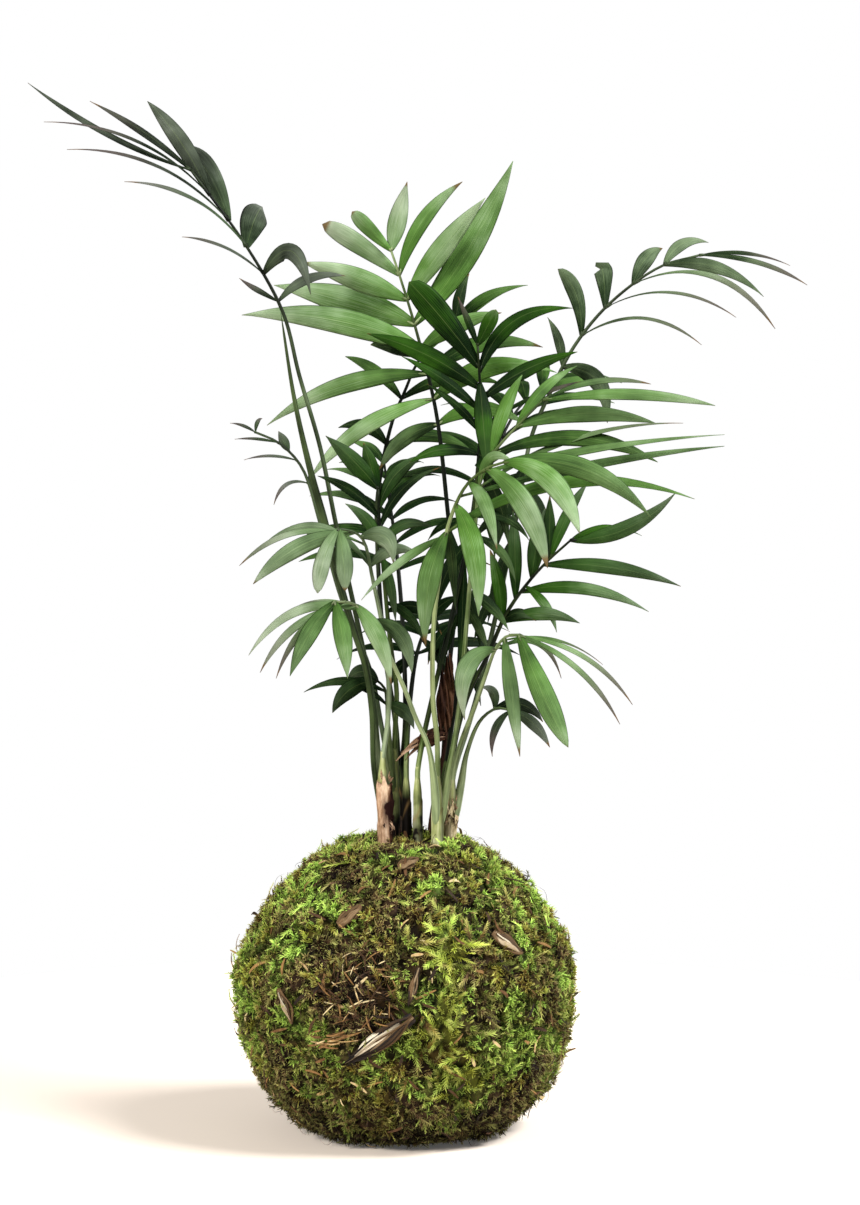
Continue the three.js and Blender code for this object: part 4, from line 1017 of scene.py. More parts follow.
class Clumps:
    """Cushions of moss over the ball, each with its height, colour, share of ochre and growing direction."""

    def __init__(self):
        chance = np.random.default_rng(77)
        self.middles = moss_places(CLUMPS, 78)[0] + chance.normal(0, 1.5, (CLUMPS, 3))
        self.size = chance.uniform(-1.6, 1.6, CLUMPS)
        self.height = chance.uniform(0.45, 1.3, CLUMPS)
        self.tone = moss_tone(self.middles) + chance.normal(0, 0.18, CLUMPS)
        self.ochre = np.where(chance.uniform(0, 1, CLUMPS) < 0.3, chance.uniform(0.4, 1, CLUMPS), 0.1)
        for place, reach in MOSS_FEATHERY:
            more = np.maximum(self.ochre, chance.uniform(0.2, 1, CLUMPS))
            self.ochre = np.where(distance(self.middles, place) < reach, more, self.ochre)
        self.turn = chance.uniform(0, 2 * math.pi, CLUMPS)

    def near(self, points):
        """For each point, its clump and how far it is from the edge of that clump."""
        flat = points.reshape(-1, 3).astype(np.float32)
        middles = self.middles.astype(np.float32)
        found, edge = [], []
        for part in np.array_split(flat, len(flat) // 2000 + 1):
            apart = np.linalg.norm(part[:, None] - middles[None], axis=2) - self.size[None]
            two = np.argpartition(apart, 1, axis=1)[:, :2]
            gaps = np.take_along_axis(apart, two, 1)
            found.append(two[np.arange(len(part)), gaps.argmin(1)])
            edge.append(np.abs(gaps[:, 1] - gaps[:, 0]))
        shape = points.shape[:-1]
        return np.concatenate(found).reshape(shape), np.concatenate(edge).reshape(shape)

    def rise(self, found, edge):
        """How far the moss stands out: domes with gaps between them."""
        return CLUMP_RISE * (smooth(0, 5, edge) * self.height[found] - 0.45)


def clear_of_stems(points):
    """True where a point isn't in or right against a stem."""
    free = np.ones(len(points), bool)
    for stem in STEMS.values():
        middle = stem_axis(stem, points[:, 2])
        apart = np.linalg.norm((points - middle)[:, :2], axis=1)
        free &= apart > max(stem["r"]) + 0.9
    return free


def spikes(roots, tips, widths):
    """Thin closed three-sided spikes, one from each root to its tip, as points and triangles."""
    along = unit(tips - roots)
    across = unit(np.cross(along, np.array([0.03, 0.02, 1]))) * widths[:, None] / 2
    corners = np.stack([roots - across, roots + across, roots + np.cross(across, along), tips], 1)
    base = 4 * np.arange(len(roots))[:, None, None]
    faces = (base + np.array([[0, 1, 2], [1, 0, 3], [2, 1, 3], [0, 2, 3]])).reshape(-1, 3)
    points = corners.reshape(-1, 3)
    if volume(points, [faces]) < 0:
        faces = faces[:, ::-1]
    return points, faces


def rod(rings, length):
    """A loft along +X as points, triangles and how far along each point is."""
    body, (quads, caps) = loft(rings)
    triangles = np.vstack([quads[:, [0, 1, 2]], quads[:, [0, 2, 3]], caps])
    return body, triangles, np.clip(body[:, 0] / length, 0, 1)


def shoot(draw, length, reach, count, width):
    """One moss shoot along +X: a curved axis with small leaves on both sides."""
    bend, sway = draw.uniform(-0.1, 0.22) * length, draw.uniform(-0.18, 0.18) * length

    def middle(at):
        return fields(length * at, sway * at**2, bend * np.sin(math.pi * at * 0.8))

    t = np.linspace(0, 1, 4)
    body, triangles, along = rod(tube_rings(middle(t), (0.5 * width * (1 - 0.8 * t))[:, None], 3), length)
    at = np.linspace(0.06, 0.97, count)
    sign = np.where(np.arange(count) % 2 == 0, 1, -1)
    spread = np.radians(uniforms(draw, 32, 62, count)) * (1 - 0.45 * at)
    rise = uniforms(draw, -0.25, 0.5, count)
    size = reach * (0.35 + 0.65 * np.sin(math.pi * np.clip(0.12 + 0.78 * at, 0, 1)))
    ahead = unit(fields(np.cos(spread), sign * np.sin(spread), rise))
    leaves, leaf_triangles = spikes(middle(at), middle(at) + size[:, None] * ahead, width * (1.1 - 0.3 * at))
    along = np.concatenate([along, np.minimum(fields(at, at, at, at + 0.35).ravel(), 1)])
    return np.vstack([body, leaves]), np.vstack([triangles, leaf_triangles + len(body)]), along


def tuft(draw, length, count, width):
    """A small star of short leaves that opens along +X."""
    around = 2 * math.pi * np.arange(count) / count * 1.6 + draw.uniform(0, 3)
    spread = uniforms(draw, 0.2, 1.25, count)
    size = length * uniforms(draw, 0.6, 1, count)
    back = uniforms(draw, -0.1, 0.45, count)
    roots = length * fields(back, 0.12 * np.cos(around), 0.12 * np.sin(around))
    ahead = fields(np.cos(spread), np.sin(spread) * np.cos(around), np.sin(spread) * np.sin(around))
    points, triangles = spikes(roots, roots + ahead * size[:, None], np.full(count, width))
    return points, triangles, np.tile([0.15, 0.15, 0.3, 1.0], count)


def drawn_forms(make, draw, count, *sizes):
    """Several forms of one kind. Each size is one value, or a pair that it is drawn between."""
    forms = []
    for _ in range(count):
        forms.append(make(draw, *[draw.uniform(*s) if isinstance(s, tuple) else s for s in sizes]))
    return forms


def place_shoots(shape, template, points, ahead, outward, scale, tint, flow=None):
    """Copies of one shoot: its X goes ahead and its Z outward. tint: tone and chance of each copy."""
    form, triangles, along = template
    axes = np.stack([ahead, np.cross(outward, ahead), outward], 1)
    copies = points[:, None] + np.einsum("pk,nkj->npj", form, axes) * scale[:, None, None]
    flow = np.zeros(points.shape) if flow is None else flow
    keep = copies[..., 2].min(1) > 0.1
    copies, tint, flow = copies[keep], tint[keep], flow[keep]
    faces = (triangles + len(form) * np.arange(len(copies))[:, None, None]).reshape(-1, 3)
    values = fields(tint[:, 0:1], along, tint[:, 1:2]).reshape(-1, 3)
    shape.add(copies.reshape(-1, 3), [faces], np.repeat(flow, len(form), axis=0), values)


def along_moss(normal, turn):
    """Directions along the moss, turned by angles about the directions out of it."""
    east = unit(np.cross(UP + np.array([0.01, 0, 0]), normal))
    return east * np.cos(turn)[:, None] + np.cross(normal, east) * np.sin(turn)[:, None]


def flattened(vectors, normal):
    """Vectors pressed onto the moss, at length 1."""
    return unit(vectors - normal * np.einsum("ij,ij->i", vectors, normal)[:, None])


def cover(shapes, clumps, chance, templates, count, seed, tilt, feathery):
    """Spreads moss shoots over the ball: fewer at the back and in the litter, and none under a flake."""
    points, normal = moss_places(count, seed)
    free = clear_of_stems(points)
    points, normal = points[free], normal[free]
    near = np.max([nearness(points, place, reach) for place, reach in MOSS_FEATHERY], axis=0)
    wanted = 0.08 + near if feathery else 1.0 - 0.7 * near
    wanted = wanted * (1 - 0.4 * smooth(0, 40, points[:, 1])) * clear_of_flakes(points)
    wanted = wanted * (1 - 0.64 * np.exp(-((distance(points, LITTER_PLACE) / 12) ** 4)))
    found, edge = clumps.near(points)
    kept = chance.uniform(0, 1, len(points)) < wanted
    points, normal, found, edge = points[kept], normal[kept], found[kept], edge[kept]
    count = len(points)
    grown = along_moss(normal, clumps.turn[found] + chance.normal(0, 0.7, count))
    flat = flattened(grown + 0.8 * flattened(points - clumps.middles[found], normal), normal)
    ahead, outward = lean_over(flat, normal, np.radians(chance.uniform(*tilt, count)))
    rise = clumps.rise(found, edge) - chance.uniform(0.3, 1.9, count)
    roots = points + normal * rise[:, None]
    tone = np.clip(clumps.tone[found] + chance.normal(0, 0.16, count), 0, 1)
    tint = fields(tone, chance.uniform(0, 1, count))
    ochre = np.clip(clumps.ochre[found] + chance.normal(0, 0.15, count), 0, 1)
    x, y, z = points.T
    # painted light: brighter towards the top of the ball, with painted shade low down and in the gaps between
    # clumps
    painted_light = smooth(-0.5, 3, edge) * (0.28 + 0.37 * smooth(0, 42, z) + 0.35 * smooth(50, 112, z))
    flow = fields(ochre, painted_light, 0)
    scale = chance.uniform(0.75, 1.25, count)
    kind = chance.integers(0, len(templates), count)
    quarter = (np.degrees(np.arctan2(x, -y)) % 360 + 45) // 90 % 4
    for q, shape in enumerate(shapes):
        for k, template in enumerate(templates):
            own = (quarter == q) & (kind == k)
            values = (roots, ahead, outward, scale, tint, flow)
            place_shoots(shape, template, *[each[own] for each in values])


def make_moss(clumps):
    """Tufts, sprigs and feathers all over the ball, in four pieces by the side that they are on."""
    draw = random.Random(7)
    chance = np.random.default_rng(8)
    feathers = drawn_forms(shoot, draw, *FEATHER_FORMS)
    sprigs = drawn_forms(shoot, draw, *SPRIG_FORMS)
    tufts = drawn_forms(tuft, draw, *TUFT_FORMS)
    shapes = [Shape() for _ in QUARTERS]
    cover(shapes, clumps, chance, sprigs, SPRIG_COUNT, 21, (5, 45), False)
    cover(shapes, clumps, chance, feathers, FEATHER_COUNT, 22, (2, 18), True)
    cover(shapes, clumps, chance, tufts, TUFT_COUNT, 23, (25, 90), False)
    for name, shape in zip(QUARTERS, shapes):
        shape.to_piece("moss_shoots_" + name, "moss", ["moss"], rounded=False)


def on_moss(x, z, lift):
    """Points on the front of the ball at an x and a height, lifted off the moss."""
    skin = spline_points(MOSS_OUTSIDE, 200)
    r = np.interp(z, skin[:, 1], skin[:, 0])
    point = lumpy(fields(x, -np.sqrt(np.maximum(r * r - x * x, 1)), z))
    return point + outward_at(point) * np.asarray(lift)[..., None]


def behind_view(x, z):
    """The x and height on the ball that lie behind a point of the front view."""
    point = in_depth((x, -60, z))
    for _ in range(6):
        point = in_depth((x, on_moss(point[0], point[2], 0)[1], z))
    return point[0], point[2]


def make_flake(flake, index):
    """A flake of bark or dry leaf: thin strips side by side that follow the ball."""
    (x0, z0), (x1, z1) = [behind_view(*end) for end in flake["ends"]]
    length = math.hypot(x1 - x0, z1 - z0)
    shape = Shape()
    v = np.linspace(-1, 1, STRIP_ACROSS)[None, :]
    half = STRIP_THICK / 2 * (1 - v**2) ** 0.5
    for offset, share, lift, tone, start, end in FLAKE_STRIPS.get(flake["name"], PLAIN_STRIPS):
        u = np.linspace(start, end, STRIP_ROWS)[:, None]
        outline = 0.3 + 0.7 * np.sin(math.pi * np.minimum(1, (u - start) / (end - start) * 0.88 + 0.1))
        outline = outline * smooth(-0.12, 0.1, end - u)
        side = offset * np.sin(math.pi * np.clip(u, 0.08, 0.92)) + share * v * outline
        side = (0.62 * flake["width"] * side + 0.25 * np.sin(u * 9 + index + 5 * offset)) / length
        x, z = x0 + (x1 - x0) * u - (z1 - z0) * side, z0 + (z1 - z0) * u + (x1 - x0) * side
        height = lift + 0.25 * (1 - v**2) + 0.35 * np.sin(u * 7 + offset * 9) + 0.12 * np.cos(v * 9)
        rings = two_sided(on_moss(x, z, height + half), on_moss(x, z, height - half), 1)
        flow = fields(u, v, 0)
        shape.add_loft(rings, two_sided(flow, flow, 1), (tone, index / 6, share))
    shape.to_piece("fine_" + flake["name"], "bark", ["bark"], flake["name"])


def thread(draw, length, radius):
    """A curved dead thread along +X."""
    t = np.linspace(0, 1, 6)
    sway = draw.uniform(-0.3, 0.3) * length
    line = fields(length * t, sway * np.sin(2.5 * t), 0.22 * length * np.sin(math.pi * t))
    return rod(tube_rings(line, (radius * (1.1 - t))[:, None], 3), length)


def chip(draw, length, width):
    """A thin strip along +X that narrows to both ends."""
    t = np.linspace(0, 1, 5)
    half = width / 2 * (0.4 + 0.6 * np.sin(math.pi * np.clip(t * 0.9 + 0.08, 0, 1)))
    bend = draw.uniform(-0.12, 0.2) * length * np.sin(math.pi * t)
    sway = draw.uniform(-0.15, 0.15) * length * t**2
    return rod(np.stack([fields(length * t, sway + a * half, bend + b) for a, b in CHIP_CORNERS], 1), length)


def scatter_litter(shape, chance, templates, count, seed, tilt, tones, rise, reach):
    """Lays litter on the moss, within reach of the place where most of it lies."""
    points, normal = moss_places(count, seed)
    free = clear_of_stems(points) & (distance(points, LITTER_PLACE) < reach)
    points, normal = points[free], normal[free]
    count = len(points)
    lean = np.radians(chance.uniform(*tilt, count))
    flat = along_moss(normal, chance.uniform(0, 2 * math.pi, count))
    ahead, outward = lean_over(flat, normal, lean)
    roots = points + normal * chance.uniform(*rise, count)[:, None]
    tone = tones[0] + (tones[1] - tones[0]) * chance.uniform(0, 1, count) ** 2
    tint = fields(tone, chance.uniform(0, 1, count))
    kind = chance.integers(0, len(templates), count)
    for k, template in enumerate(templates):
        own = kind == k
        scale = chance.uniform(0.8, 1.15, own.sum())
        place_shoots(shape, template, roots[own], ahead[own], outward[own], scale, tint[own])


def stand_litter(shape, chance, template, count, reach):
    """Stands litter upright among the stems."""
    across, around = reach * chance.uniform(0, 1, count) ** 0.5, chance.uniform(0, 2 * math.pi, count)
    x, y = MOUTH_MIDDLE
    heights = chance.uniform(*MOUTH_HEIGHTS, count)
    roots = fields(x + across * np.cos(around), y + across * np.sin(around), heights)
    free = clear_of_stems(roots)
    roots, around = roots[free], around[free] + chance.normal(0, 0.8, free.sum())
    count = len(roots)
    ahead, outward = lean_over(UP, level(around), chance.uniform(0, 0.6, count))
    tint = fields(chance.uniform(0, 0.3, count), chance.uniform(0, 1, count))
    place_shoots(shape, template, roots, ahead, outward, chance.uniform(0.4, 1.3, count), tint)


def lay_straw(shape, draw):
    """Lays one straw in the bundle on the left of the ball's front."""
    x, z = draw.uniform(*STRAW_SPREAD), draw.uniform(-3.2, 3.2)
    z += STRAW_HEIGHT + 0.3 * (x + 36)
    at = np.array([x, x + 5]), np.array([z, z + draw.uniform(-0.6, 2.8)])
    root, end = on_moss(*at, np.full(2, draw.uniform(0.6, 1.7)))
    ahead = unit(end - root)
    outward = unit(np.cross(ahead, np.cross(outward_at(root), ahead)))
    form = chip(draw, draw.uniform(5, 10), draw.uniform(0.4, 1.0))
    tint = np.array([[draw.uniform(0.15, 1.0), draw.random()]])
    place_shoots(shape, form, root[None], ahead[None], outward[None], np.ones(1), tint)


def make_litter():
    """Threads, chips and twigs in the moss, round the stems and in a bundle of straw."""
    draw = random.Random(51)
    chance = np.random.default_rng(52)
    shape = Shape()
    threads = drawn_forms(thread, draw, *THREAD_FORMS)
    chips = drawn_forms(chip, draw, *CHIP_FORMS)
    twigs = drawn_forms(chip, draw, *TWIG_FORMS)
    for kind in (
        (threads, THREADS, 61, (-8, 14), (0.02, 0.25), (-0.6, 1.1), ANYWHERE),
        (chips, CHIPS, 62, (-8, 26), (0, 1), (-1.6, 0.9), ANYWHERE),
        (threads, HEAP_THREADS, 63, (-8, 25), (0.0, 0.32), (-0.6, 1.5), LITTER_REACH),
        (twigs, HEAP_TWIGS, 64, (-8, 25), (0.08, 1.3), (-0.4, 1.5), LITTER_REACH),
    ):
        scatter_litter(shape, chance, *kind)
    long_thread, broad_chip = thread(draw, 11, 0.2), chip(draw, 9, 2.2)
    stand_litter(shape, chance, long_thread, *MOUTH_THREADS)
    stand_litter(shape, chance, broad_chip, *MOUTH_CHIPS)
    for _ in range(STRAWS):
        lay_straw(shape, draw)
    shape.to_piece("moss_litter", "bark", ["litter"], rounded=False)


# Materials, with the colours of each from its lowest tone to its highest

STEM_STOPS = [(0, (12, 22, 5)), (0.35, (86, 104, 52)), (0.7, (166, 176, 114)), (1, (220, 222, 182))]
DRY_STOPS = [
    (0, (26, 9, 6)), (0.3, (84, 50, 34)), (0.55, (152, 118, 92)), (0.75, (196, 160, 132)),
    (1, (232, 204, 176)),
]
MOSS_STOPS = [
    (0.0, (44, 29, 24)), (0.2, (86, 63, 48)), (0.38, (114, 99, 64)), (0.55, (113, 122, 58)),
    (0.75, (102, 137, 50)), (1.0, (136, 168, 72)),
]
OCHRE_STOPS = [(0.0, (42, 26, 16)), (0.3, (82, 60, 28)), (0.6, (106, 92, 34)), (1.0, (118, 124, 38))]


class Paint:
    """A node material, built step by step."""

    def __init__(self, name, roughness, specular):
        self.material = bpy.data.materials.new(name)
        self.material.use_nodes = True
        self.tree = self.material.node_tree
        self.shader = self.tree.nodes["Principled BSDF"]
        self.shader.inputs["Roughness"].default_value = roughness
        self.shader.inputs["Specular IOR Level"].default_value = specular

    def feed(self, socket, value):
        if isinstance(value, bpy.types.NodeSocket):
            self.tree.links.new(value, socket)
        else:
            socket.default_value = value

    def node(self, kind, inputs, **settings):
        """A new node, its settings, and its inputs by name or number."""
        made = self.tree.nodes.new(kind)
        for key, value in settings.items():
            setattr(made, key, value)
        for key, value in inputs.items():
            self.feed(made.inputs[key], value)
        return made

    def math(self, operation, first, second=0.0, clamp=False):
        settings = dict(operation=operation, use_clamp=clamp)
        return self.node("ShaderNodeMath", {0: first, 1: second}, **settings).outputs[0]

    def vary(self, value, by, amount, middle=0.5, clamp=False):
        """A value raised or lowered by how far another one lies from its middle."""
        shift = self.math("MULTIPLY", self.math("SUBTRACT", by, middle), amount)
        return self.math("ADD", value, shift, clamp)

    def blend(self, share, first, second, mode="MIX"):
        settings = dict(data_type="RGBA", blend_type=mode, clamp_factor=True)
        return self.node("ShaderNodeMix", {0: share, 6: first, 7: second}, **settings).outputs[2]

    def step(self, value, low, high, start=0.0, end=1.0):
        """A smooth step from start, where the value is low, to end, where it is high."""
        inputs = dict(enumerate((value, low, high, start, end)))
        settings = dict(interpolation_type="SMOOTHSTEP", clamp=True)
        return self.node("ShaderNodeMapRange", inputs, **settings).outputs[0]

    def parts(self, label):
        """The three values of a point attribute."""
        read = self.node("ShaderNodeAttribute", {}, attribute_type="GEOMETRY", attribute_name=label)
        return self.node("ShaderNodeSeparateXYZ", {0: read.outputs["Vector"]}).outputs

    def join(self, x, y, z):
        return self.node("ShaderNodeCombineXYZ", {0: x, 1: y, 2: z}).outputs[0]

    def stretch(self, values, scales):
        """Three values, each scaled, as the place where noise is read."""
        return self.join(*[self.math("MULTIPLY", value, scale) for value, scale in zip(values, scales)])

    def darken(self, colour, shade):
        return self.blend(1.0, colour, self.join(shade, shade, shade), "MULTIPLY")

    def noise(self, scale, vector=None, detail=3.0, roughness=0.55):
        if vector is None:
            vector = self.node("ShaderNodeTexCoord", {}).outputs["Object"]
        inputs = {"Scale": scale, "Detail": detail, "Roughness": roughness, "Vector": vector}
        return self.node("ShaderNodeTexNoise", inputs, noise_dimensions="3D").outputs["Fac"]

    def ramp(self, share, stops):
        made = self.node("ShaderNodeValToRGB", {0: share})
        elements = made.color_ramp.elements
        while len(elements) < len(stops):
            elements.new(0.5)
        for element, (position, colour) in zip(elements, stops):
            element.position = position
            element.color = linear(*colour)
        return made.outputs[0]

    def bump(self, height, millimetres, strength):
        inputs = {"Strength": strength, "Distance": millimetres * MM, "Height": height}
        self.feed(self.shader.inputs["Normal"], self.node("ShaderNodeBump", inputs).outputs[0])

    def finish(self, colour):
        self.feed(self.shader.inputs["Base Color"], colour)
        return self.material


def leaf_paint(name, fresh, dull, under):
    """Satin leaf with fine parallel veins, a faint midrib, a paler underside, a browned tip and painted
    sheen.
    """
    paint = Paint(name, 0.5, 0.05)
    along, across, side = paint.parts("flow")
    tone, grey, chance = paint.parts("tint")
    tone_and_sheen_patches = paint.noise(60, detail=2)
    # tone patches and streaks, partly the leaf's own and partly painted sheen; lighter towards the tip,
    # partly painted shade near the stalk
    tone = paint.vary(paint.vary(tone, tone_and_sheen_patches, 0.9), along, 0.35, 0.45)
    streak = paint.noise(1.6, paint.stretch((along, across, chance), (2.2, 12, 40)), detail=5, roughness=0.65)
    tone = paint.vary(tone, streak, 0.9, clamp=True)
    # greyer towards the tip: painted sheen
    grey = paint.vary(grey, along, 0.6, 0.45)
    colour = paint.blend(grey, paint.ramp(tone, fresh), paint.ramp(tone, dull))
    veins = paint.math("PINGPONG", paint.math("MULTIPLY", across, 7), 0.5)
    colour = paint.blend(paint.step(veins, 0.14, 0.0, 0.0, 0.12), colour, linear(*fresh[-1][1]))
    rib = paint.math("ABSOLUTE", across)
    colour = paint.blend(paint.step(rib, 0.06, 0.01, 0.0, 0.12), colour, linear(150, 172, 104))
    colour = paint.blend(paint.step(side, 0.2, -0.2, 0.0, 0.4), colour, linear(*under))
    ageing = paint.math("MULTIPLY", paint.step(along, 0.4, 0.9, 0.0, 0.85), paint.step(chance, 1.0, 1.7))
    colour = paint.blend(ageing, colour, linear(86, 76, 74))
    dry = paint.math("ADD", paint.vary(along, tone_and_sheen_patches, 0.08), paint.step(chance, 0.6, 1.0, 0.0, 0.08))
    colour = paint.blend(paint.step(dry, 0.975, 1.03, 0.0, 0.9), colour, linear(104, 78, 44))
    paint.bump(paint.math("ADD", veins, paint.math("MULTIPLY", streak, 0.8)), 0.14, 0.8)
    paint.feed(paint.shader.inputs["Roughness"], paint.step(streak, 0.2, 0.8, 0.42, 0.6))
    return paint.finish(colour)


def painted_shade_side(paint, share, colour, depth):
    """Painted shade: a colour that deepens towards the +X side of a round stem."""
    facing = paint.math("COSINE", paint.math("MULTIPLY", paint.math("SUBTRACT", share, 0.04), 2 * math.pi))
    return paint.darken(colour, paint.step(facing, -0.35, 0.95, 1.0, 1 - depth))


def stalk_paint():
    """Smooth stalk, faint stripes along it, from dark green to pale yellow-green, and a painted shaded side.
    """
    paint = Paint("stalk", 0.5, 0.14)
    along, across, _ = paint.parts("flow")
    tone, grey, chance = paint.parts("tint")
    streak = paint.noise(1.0, paint.stretch((along, across, chance), (5, 9, 30)))
    tone = paint.vary(paint.vary(tone, streak, 0.6), paint.noise(45), 0.9, clamp=True)
    fresh = paint.ramp(tone, [(0, (6, 16, 2)), (0.4, (74, 94, 40)), (1, (200, 216, 150))])
    dull = paint.ramp(tone, [(0, (10, 14, 8)), (0.4, (76, 92, 62)), (1, (186, 204, 166))])
    paint.bump(streak, 0.1, 0.5)
    return paint.finish(painted_shade_side(paint, across, paint.blend(grey, fresh, dull), 0.7))


def stem_paint():
    """Sheathed stem: soft stripes, a tan lip at the sheath's mouth, a dry foot and a painted shaded side."""
    paint = Paint("stem", 0.55, 0.12)
    height, across, lip = paint.parts("flow")
    tone, dry, chance = paint.parts("tint")
    streak = paint.noise(1.0, paint.stretch((height, across, chance), (7, 11, 30)))
    patches = paint.noise(90)
    tone = paint.vary(paint.vary(tone, streak, 0.8), patches, 0.8, clamp=True)
    colour = paint.ramp(tone, STEM_STOPS)
    husk = paint.ramp(streak, [(0.25, (74, 48, 30)), (0.45, (160, 138, 96)), (0.75, (214, 200, 156))])
    dryness = paint.math("MULTIPLY", dry, paint.step(patches, 0.3, 0.6, 0.4, 1.4), clamp=True)
    colour = paint.blend(dryness, colour, husk)
    # a nearly black foot, partly decay and partly painted shade among the stems
    black_foot = paint.math("MULTIPLY", dry, paint.step(patches, 0.35, 0.6, -2.4, -1.1), clamp=True)
    colour = paint.blend(black_foot, colour, linear(14, 8, 5))
    colour = paint.blend(paint.math("MULTIPLY", lip, 0.5), colour, linear(132, 104, 62))
    paint.bump(streak, 0.25, 0.8)
    return paint.finish(painted_shade_side(paint, across, colour, 0.85))


def dry_paint():
    """Papery dead leaf: fibres from dark red-brown to pale pinkish tan, darkest where torn, partly painted
    shade.
    """
    paint = Paint("dry", 0.75, 0.12)
    height, across, _ = paint.parts("flow")
    tone, warm, torn = paint.parts("tint")
    streak = paint.noise(1.2, paint.stretch((height, across, warm), (5, 9, 20)), detail=4, roughness=0.65)
    patches = paint.noise(160)
    tone = paint.vary(paint.vary(tone, streak, 1.0), patches, 0.5, clamp=True)
    colour = paint.ramp(tone, DRY_STOPS)
    straw = paint.ramp(tone, [(0, (50, 36, 18)), (0.4, (132, 112, 68)), (1, (216, 204, 156))])
    colour = paint.blend(paint.math("MULTIPLY", warm, 0.7), colour, straw)
    torn = paint.math("MULTIPLY", torn, paint.step(patches, 0.3, 0.6, 0.6, 1.4), clamp=True)
    paint.bump(streak, 0.3, 1.0)
    return paint.finish(paint.blend(torn, colour, linear(34, 10, 8)))


def moss_paint(name, light, depth):
    """Moss from brown to green or ochre, with painted light: paler tips, dark feet, shaded gaps, a lighter
    top.
    """
    paint = Paint(name, 0.65, 0.07)
    tone, along, chance = paint.parts("tint")
    ochre, painted_light_share, _ = paint.parts("flow")
    grain = paint.noise(1100, detail=2)
    tone = paint.vary(tone, grain, 0.4, clamp=True)
    colour = paint.blend(ochre, paint.ramp(tone, MOSS_STOPS), paint.ramp(tone, OCHRE_STOPS))
    # darker towards each shoot's foot: partly brown old stems, partly painted shade
    colour = paint.blend(paint.step(along, 0.75, 0.0, 0.0, 0.85), colour, linear(26, 22, 8))
    # paler tips: partly new growth, partly painted glints
    colour = paint.blend(paint.step(along, 0.45, 1.0, 0.0, 0.34), colour, linear(190, 198, 112))
    # painted light and shade: the paint's brightness, darkened down to depth in the gaps and low on the ball
    spread = paint.math("ADD", paint.math("MULTIPLY", chance, 0.8), light)
    colour = paint.darken(colour, paint.math("MULTIPLY", spread, paint.step(painted_light_share, 0.0, 1.0, depth, 1.0)))
    paint.bump(grain, 0.3, 0.7)
    return paint.finish(colour)


def soil_paint():
    """Damp crumbly soil."""
    paint = Paint("soil", 0.9, 0.15)
    grain = paint.noise(420, detail=6, roughness=0.7)
    paint.bump(grain, 0.8, 1.0)
    return paint.finish(paint.ramp(grain, [(0.3, (20, 13, 8)), (0.55, (52, 37, 25)), (0.8, (96, 74, 52))]))


def bark_paint():
    """Weathered strips: black-brown to pale cream, with fibres along them."""
    paint = Paint("bark", 0.75, 0.2)
    along, across, _ = paint.parts("flow")
    tone, chance, _ = paint.parts("tint")
    streak = paint.noise(1.6, paint.stretch((along, across, chance), (3, 4, 20)), detail=4, roughness=0.65)
    tone = paint.vary(tone, streak, 0.7, clamp=True)
    paint.bump(streak, 0.3, 0.9)
    stops = [(0, (26, 24, 26)), (0.3, (98, 74, 46)), (0.6, (150, 128, 98)), (1, (226, 216, 192))]
    return paint.finish(paint.ramp(tone, stops))


def litter_paint():
    """Threads and scraps in the moss, from black-brown to straw."""
    paint = Paint("litter", 0.75, 0.2)
    tone = paint.parts("tint")[0]
    grain = paint.noise(700, detail=3)
    tone = paint.vary(tone, grain, 0.5, clamp=True)
    paint.bump(grain, 0.2, 0.6)
    stops = [(0, (28, 21, 16)), (0.35, (90, 62, 36)), (0.7, (150, 116, 68)), (1, (214, 196, 150))]
    return paint.finish(paint.ramp(tone, stops))


def floor_paint():
    """Plain warm white, with a little light of its own."""
    paint = Paint("floor", 0.6, 0.1)
    paint.shader.inputs["Emission Color"].default_value = (1, 1, 1, 1)
    paint.shader.inputs["Emission Strength"].default_value = 0.06
    return paint.finish(linear(254, 240, 226))


PAINTS = {
    "leaf": leaf_paint(
        "leaf", [(0, (4, 28, 0)), (0.5, (80, 121, 46)), (1, (154, 183, 134))],
        [(0, (18, 34, 12)), (0.5, (100, 117, 87)), (1, (167, 177, 155))], (104, 138, 84),
    ),
    # a darker copy of the leaf paint: painted shade for fronds that stand in shadow
    "leaf_dark": leaf_paint(
        "leaf_dark", [(0, (0, 20, 0)), (0.5, (44, 84, 12)), (1, (122, 154, 98))],
        [(0, (8, 14, 8)), (0.5, (76, 83, 71)), (1, (142, 147, 139))], (60, 96, 42),
    ),
    "stalk": stalk_paint(),
    "stem": stem_paint(),
    "dry": dry_paint(),
    # the shoots' paint made bright and the moss under them dark: painted light and painted shade
    "moss": moss_paint("moss", 1.7, 0.18),
    "moss_base": moss_paint("moss_base", 0.15, 0.2),
    "soil": soil_paint(),
    "bark": bark_paint(),
    "litter": litter_paint(),
}


# Floor, light and camera


def make_floor():
    """A round floor."""
    rim = FLOOR_R * level(2 * math.pi * np.arange(FLOOR_SIDES) / FLOOR_SIDES)
    mesh = bpy.data.meshes.new("floor")
    mesh.from_pydata(rim.tolist(), [], [tuple(range(FLOOR_SIDES))])
    mesh.materials.append(floor_paint())
    floor = add_object("floor", mesh)


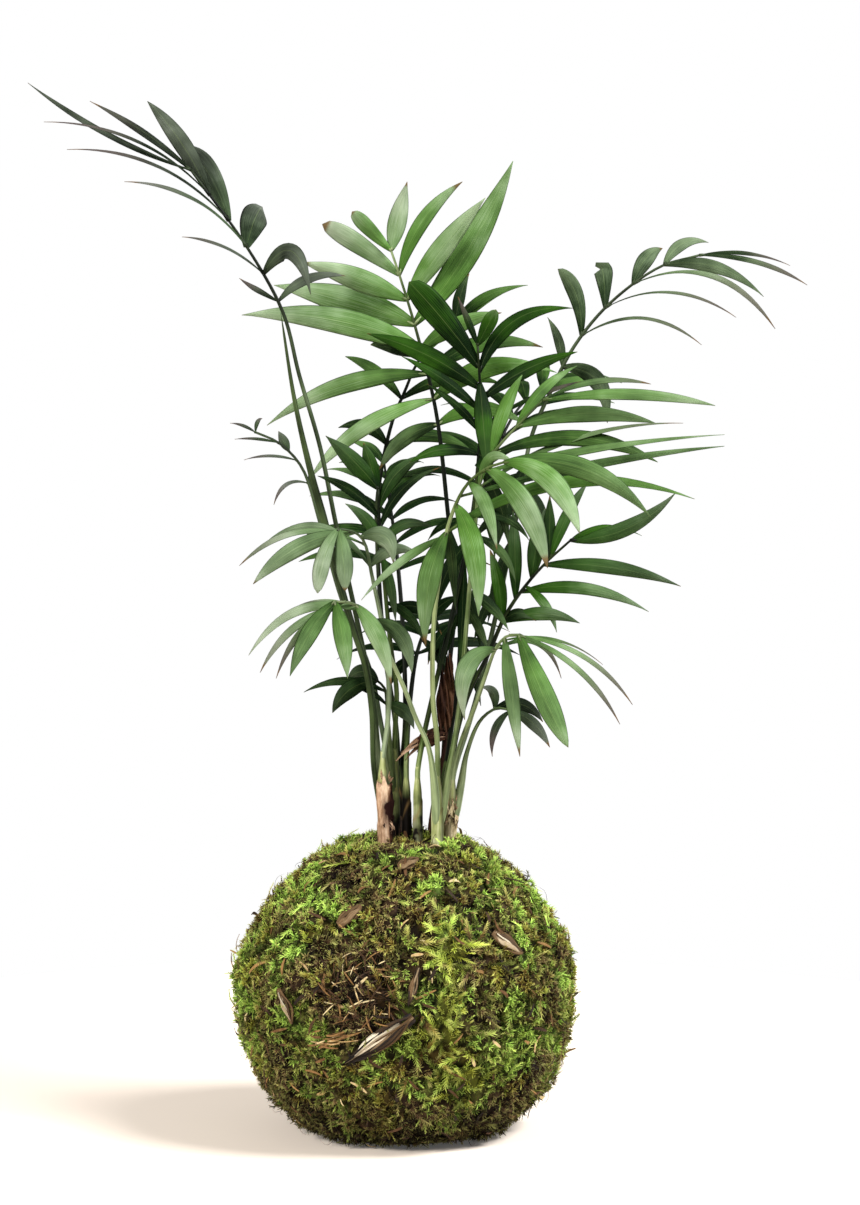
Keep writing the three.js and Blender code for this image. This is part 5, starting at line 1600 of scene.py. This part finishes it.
def aim(thing, ahead):
    """Points a lamp or camera along a direction."""
    thing.rotation_euler = ahead.to_track_quat("-Z", "Y").to_euler()


def make_light():
    """A white surrounding that lights the plant less than it shows, and the lamps."""
    world = bpy.data.worlds.new("studio")
    world.use_nodes = True
    tree = world.node_tree
    back = tree.nodes["Background"]
    seen = tree.nodes.new("ShaderNodeLightPath").outputs["Is Camera Ray"]
    strength = tree.nodes.new("ShaderNodeMapRange")
    strength.inputs["To Min"].default_value = SKY_LIGHT
    strength.inputs["To Max"].default_value = SKY_SEEN
    tree.links.new(seen, strength.inputs["Value"])
    tree.links.new(strength.outputs[0], back.inputs["Strength"])
    back.inputs["Color"].default_value = (1, 1, 1, 1)
    bpy.context.scene.world = world
    for name, (place, target, size, power, colour) in LAMPS.items():
        data = bpy.data.lights.new(name, "AREA")
        data.shape = "DISK"
        data.size = size
        data.energy = power
        data.color = colour
        light = add_object(name, data)
        light.location = place
        aim(light, Vector(target) - Vector(place))


def make_camera():
    """The photograph's view."""
    data = bpy.data.cameras.new("camera")
    data.sensor_width = SENSOR
    data.lens = SENSOR * VIEW_REACH / VIEW_HEIGHT
    camera = add_object("camera", data)
    away = Vector((0, -math.cos(VIEW_RISE), math.sin(VIEW_RISE))) * VIEW_REACH * MM
    camera.location = Vector(VIEW_MIDDLE * MM) + away
    aim(camera, -away)
    bpy.context.scene.camera = camera


make_camera()
make_light()
make_floor()
bpy.context.scene.view_settings.view_transform = "Standard"

for i, frond in enumerate(BACK_FRONDS):
    draws = make_random(11 + i)
    frond.update(left=ruled_leaflets(frond, -1, draws), right=ruled_leaflets(frond, 1, draws))
for i, frond in enumerate(FRONDS + BACK_FRONDS):
    make_frond(frond, i)
for key, stem in STEMS.items():
    make_stem(key, stem)
make_spear()
make_dry_leaf()
for i, sheath in enumerate(SHEATHS):
    make_sheath(sheath, i)
make_soil()
clumps = Clumps()
make_moss_base(clumps)
make_moss(clumps)
for i, flake in enumerate(FLAKES):
    make_flake(flake, i)
make_litter()
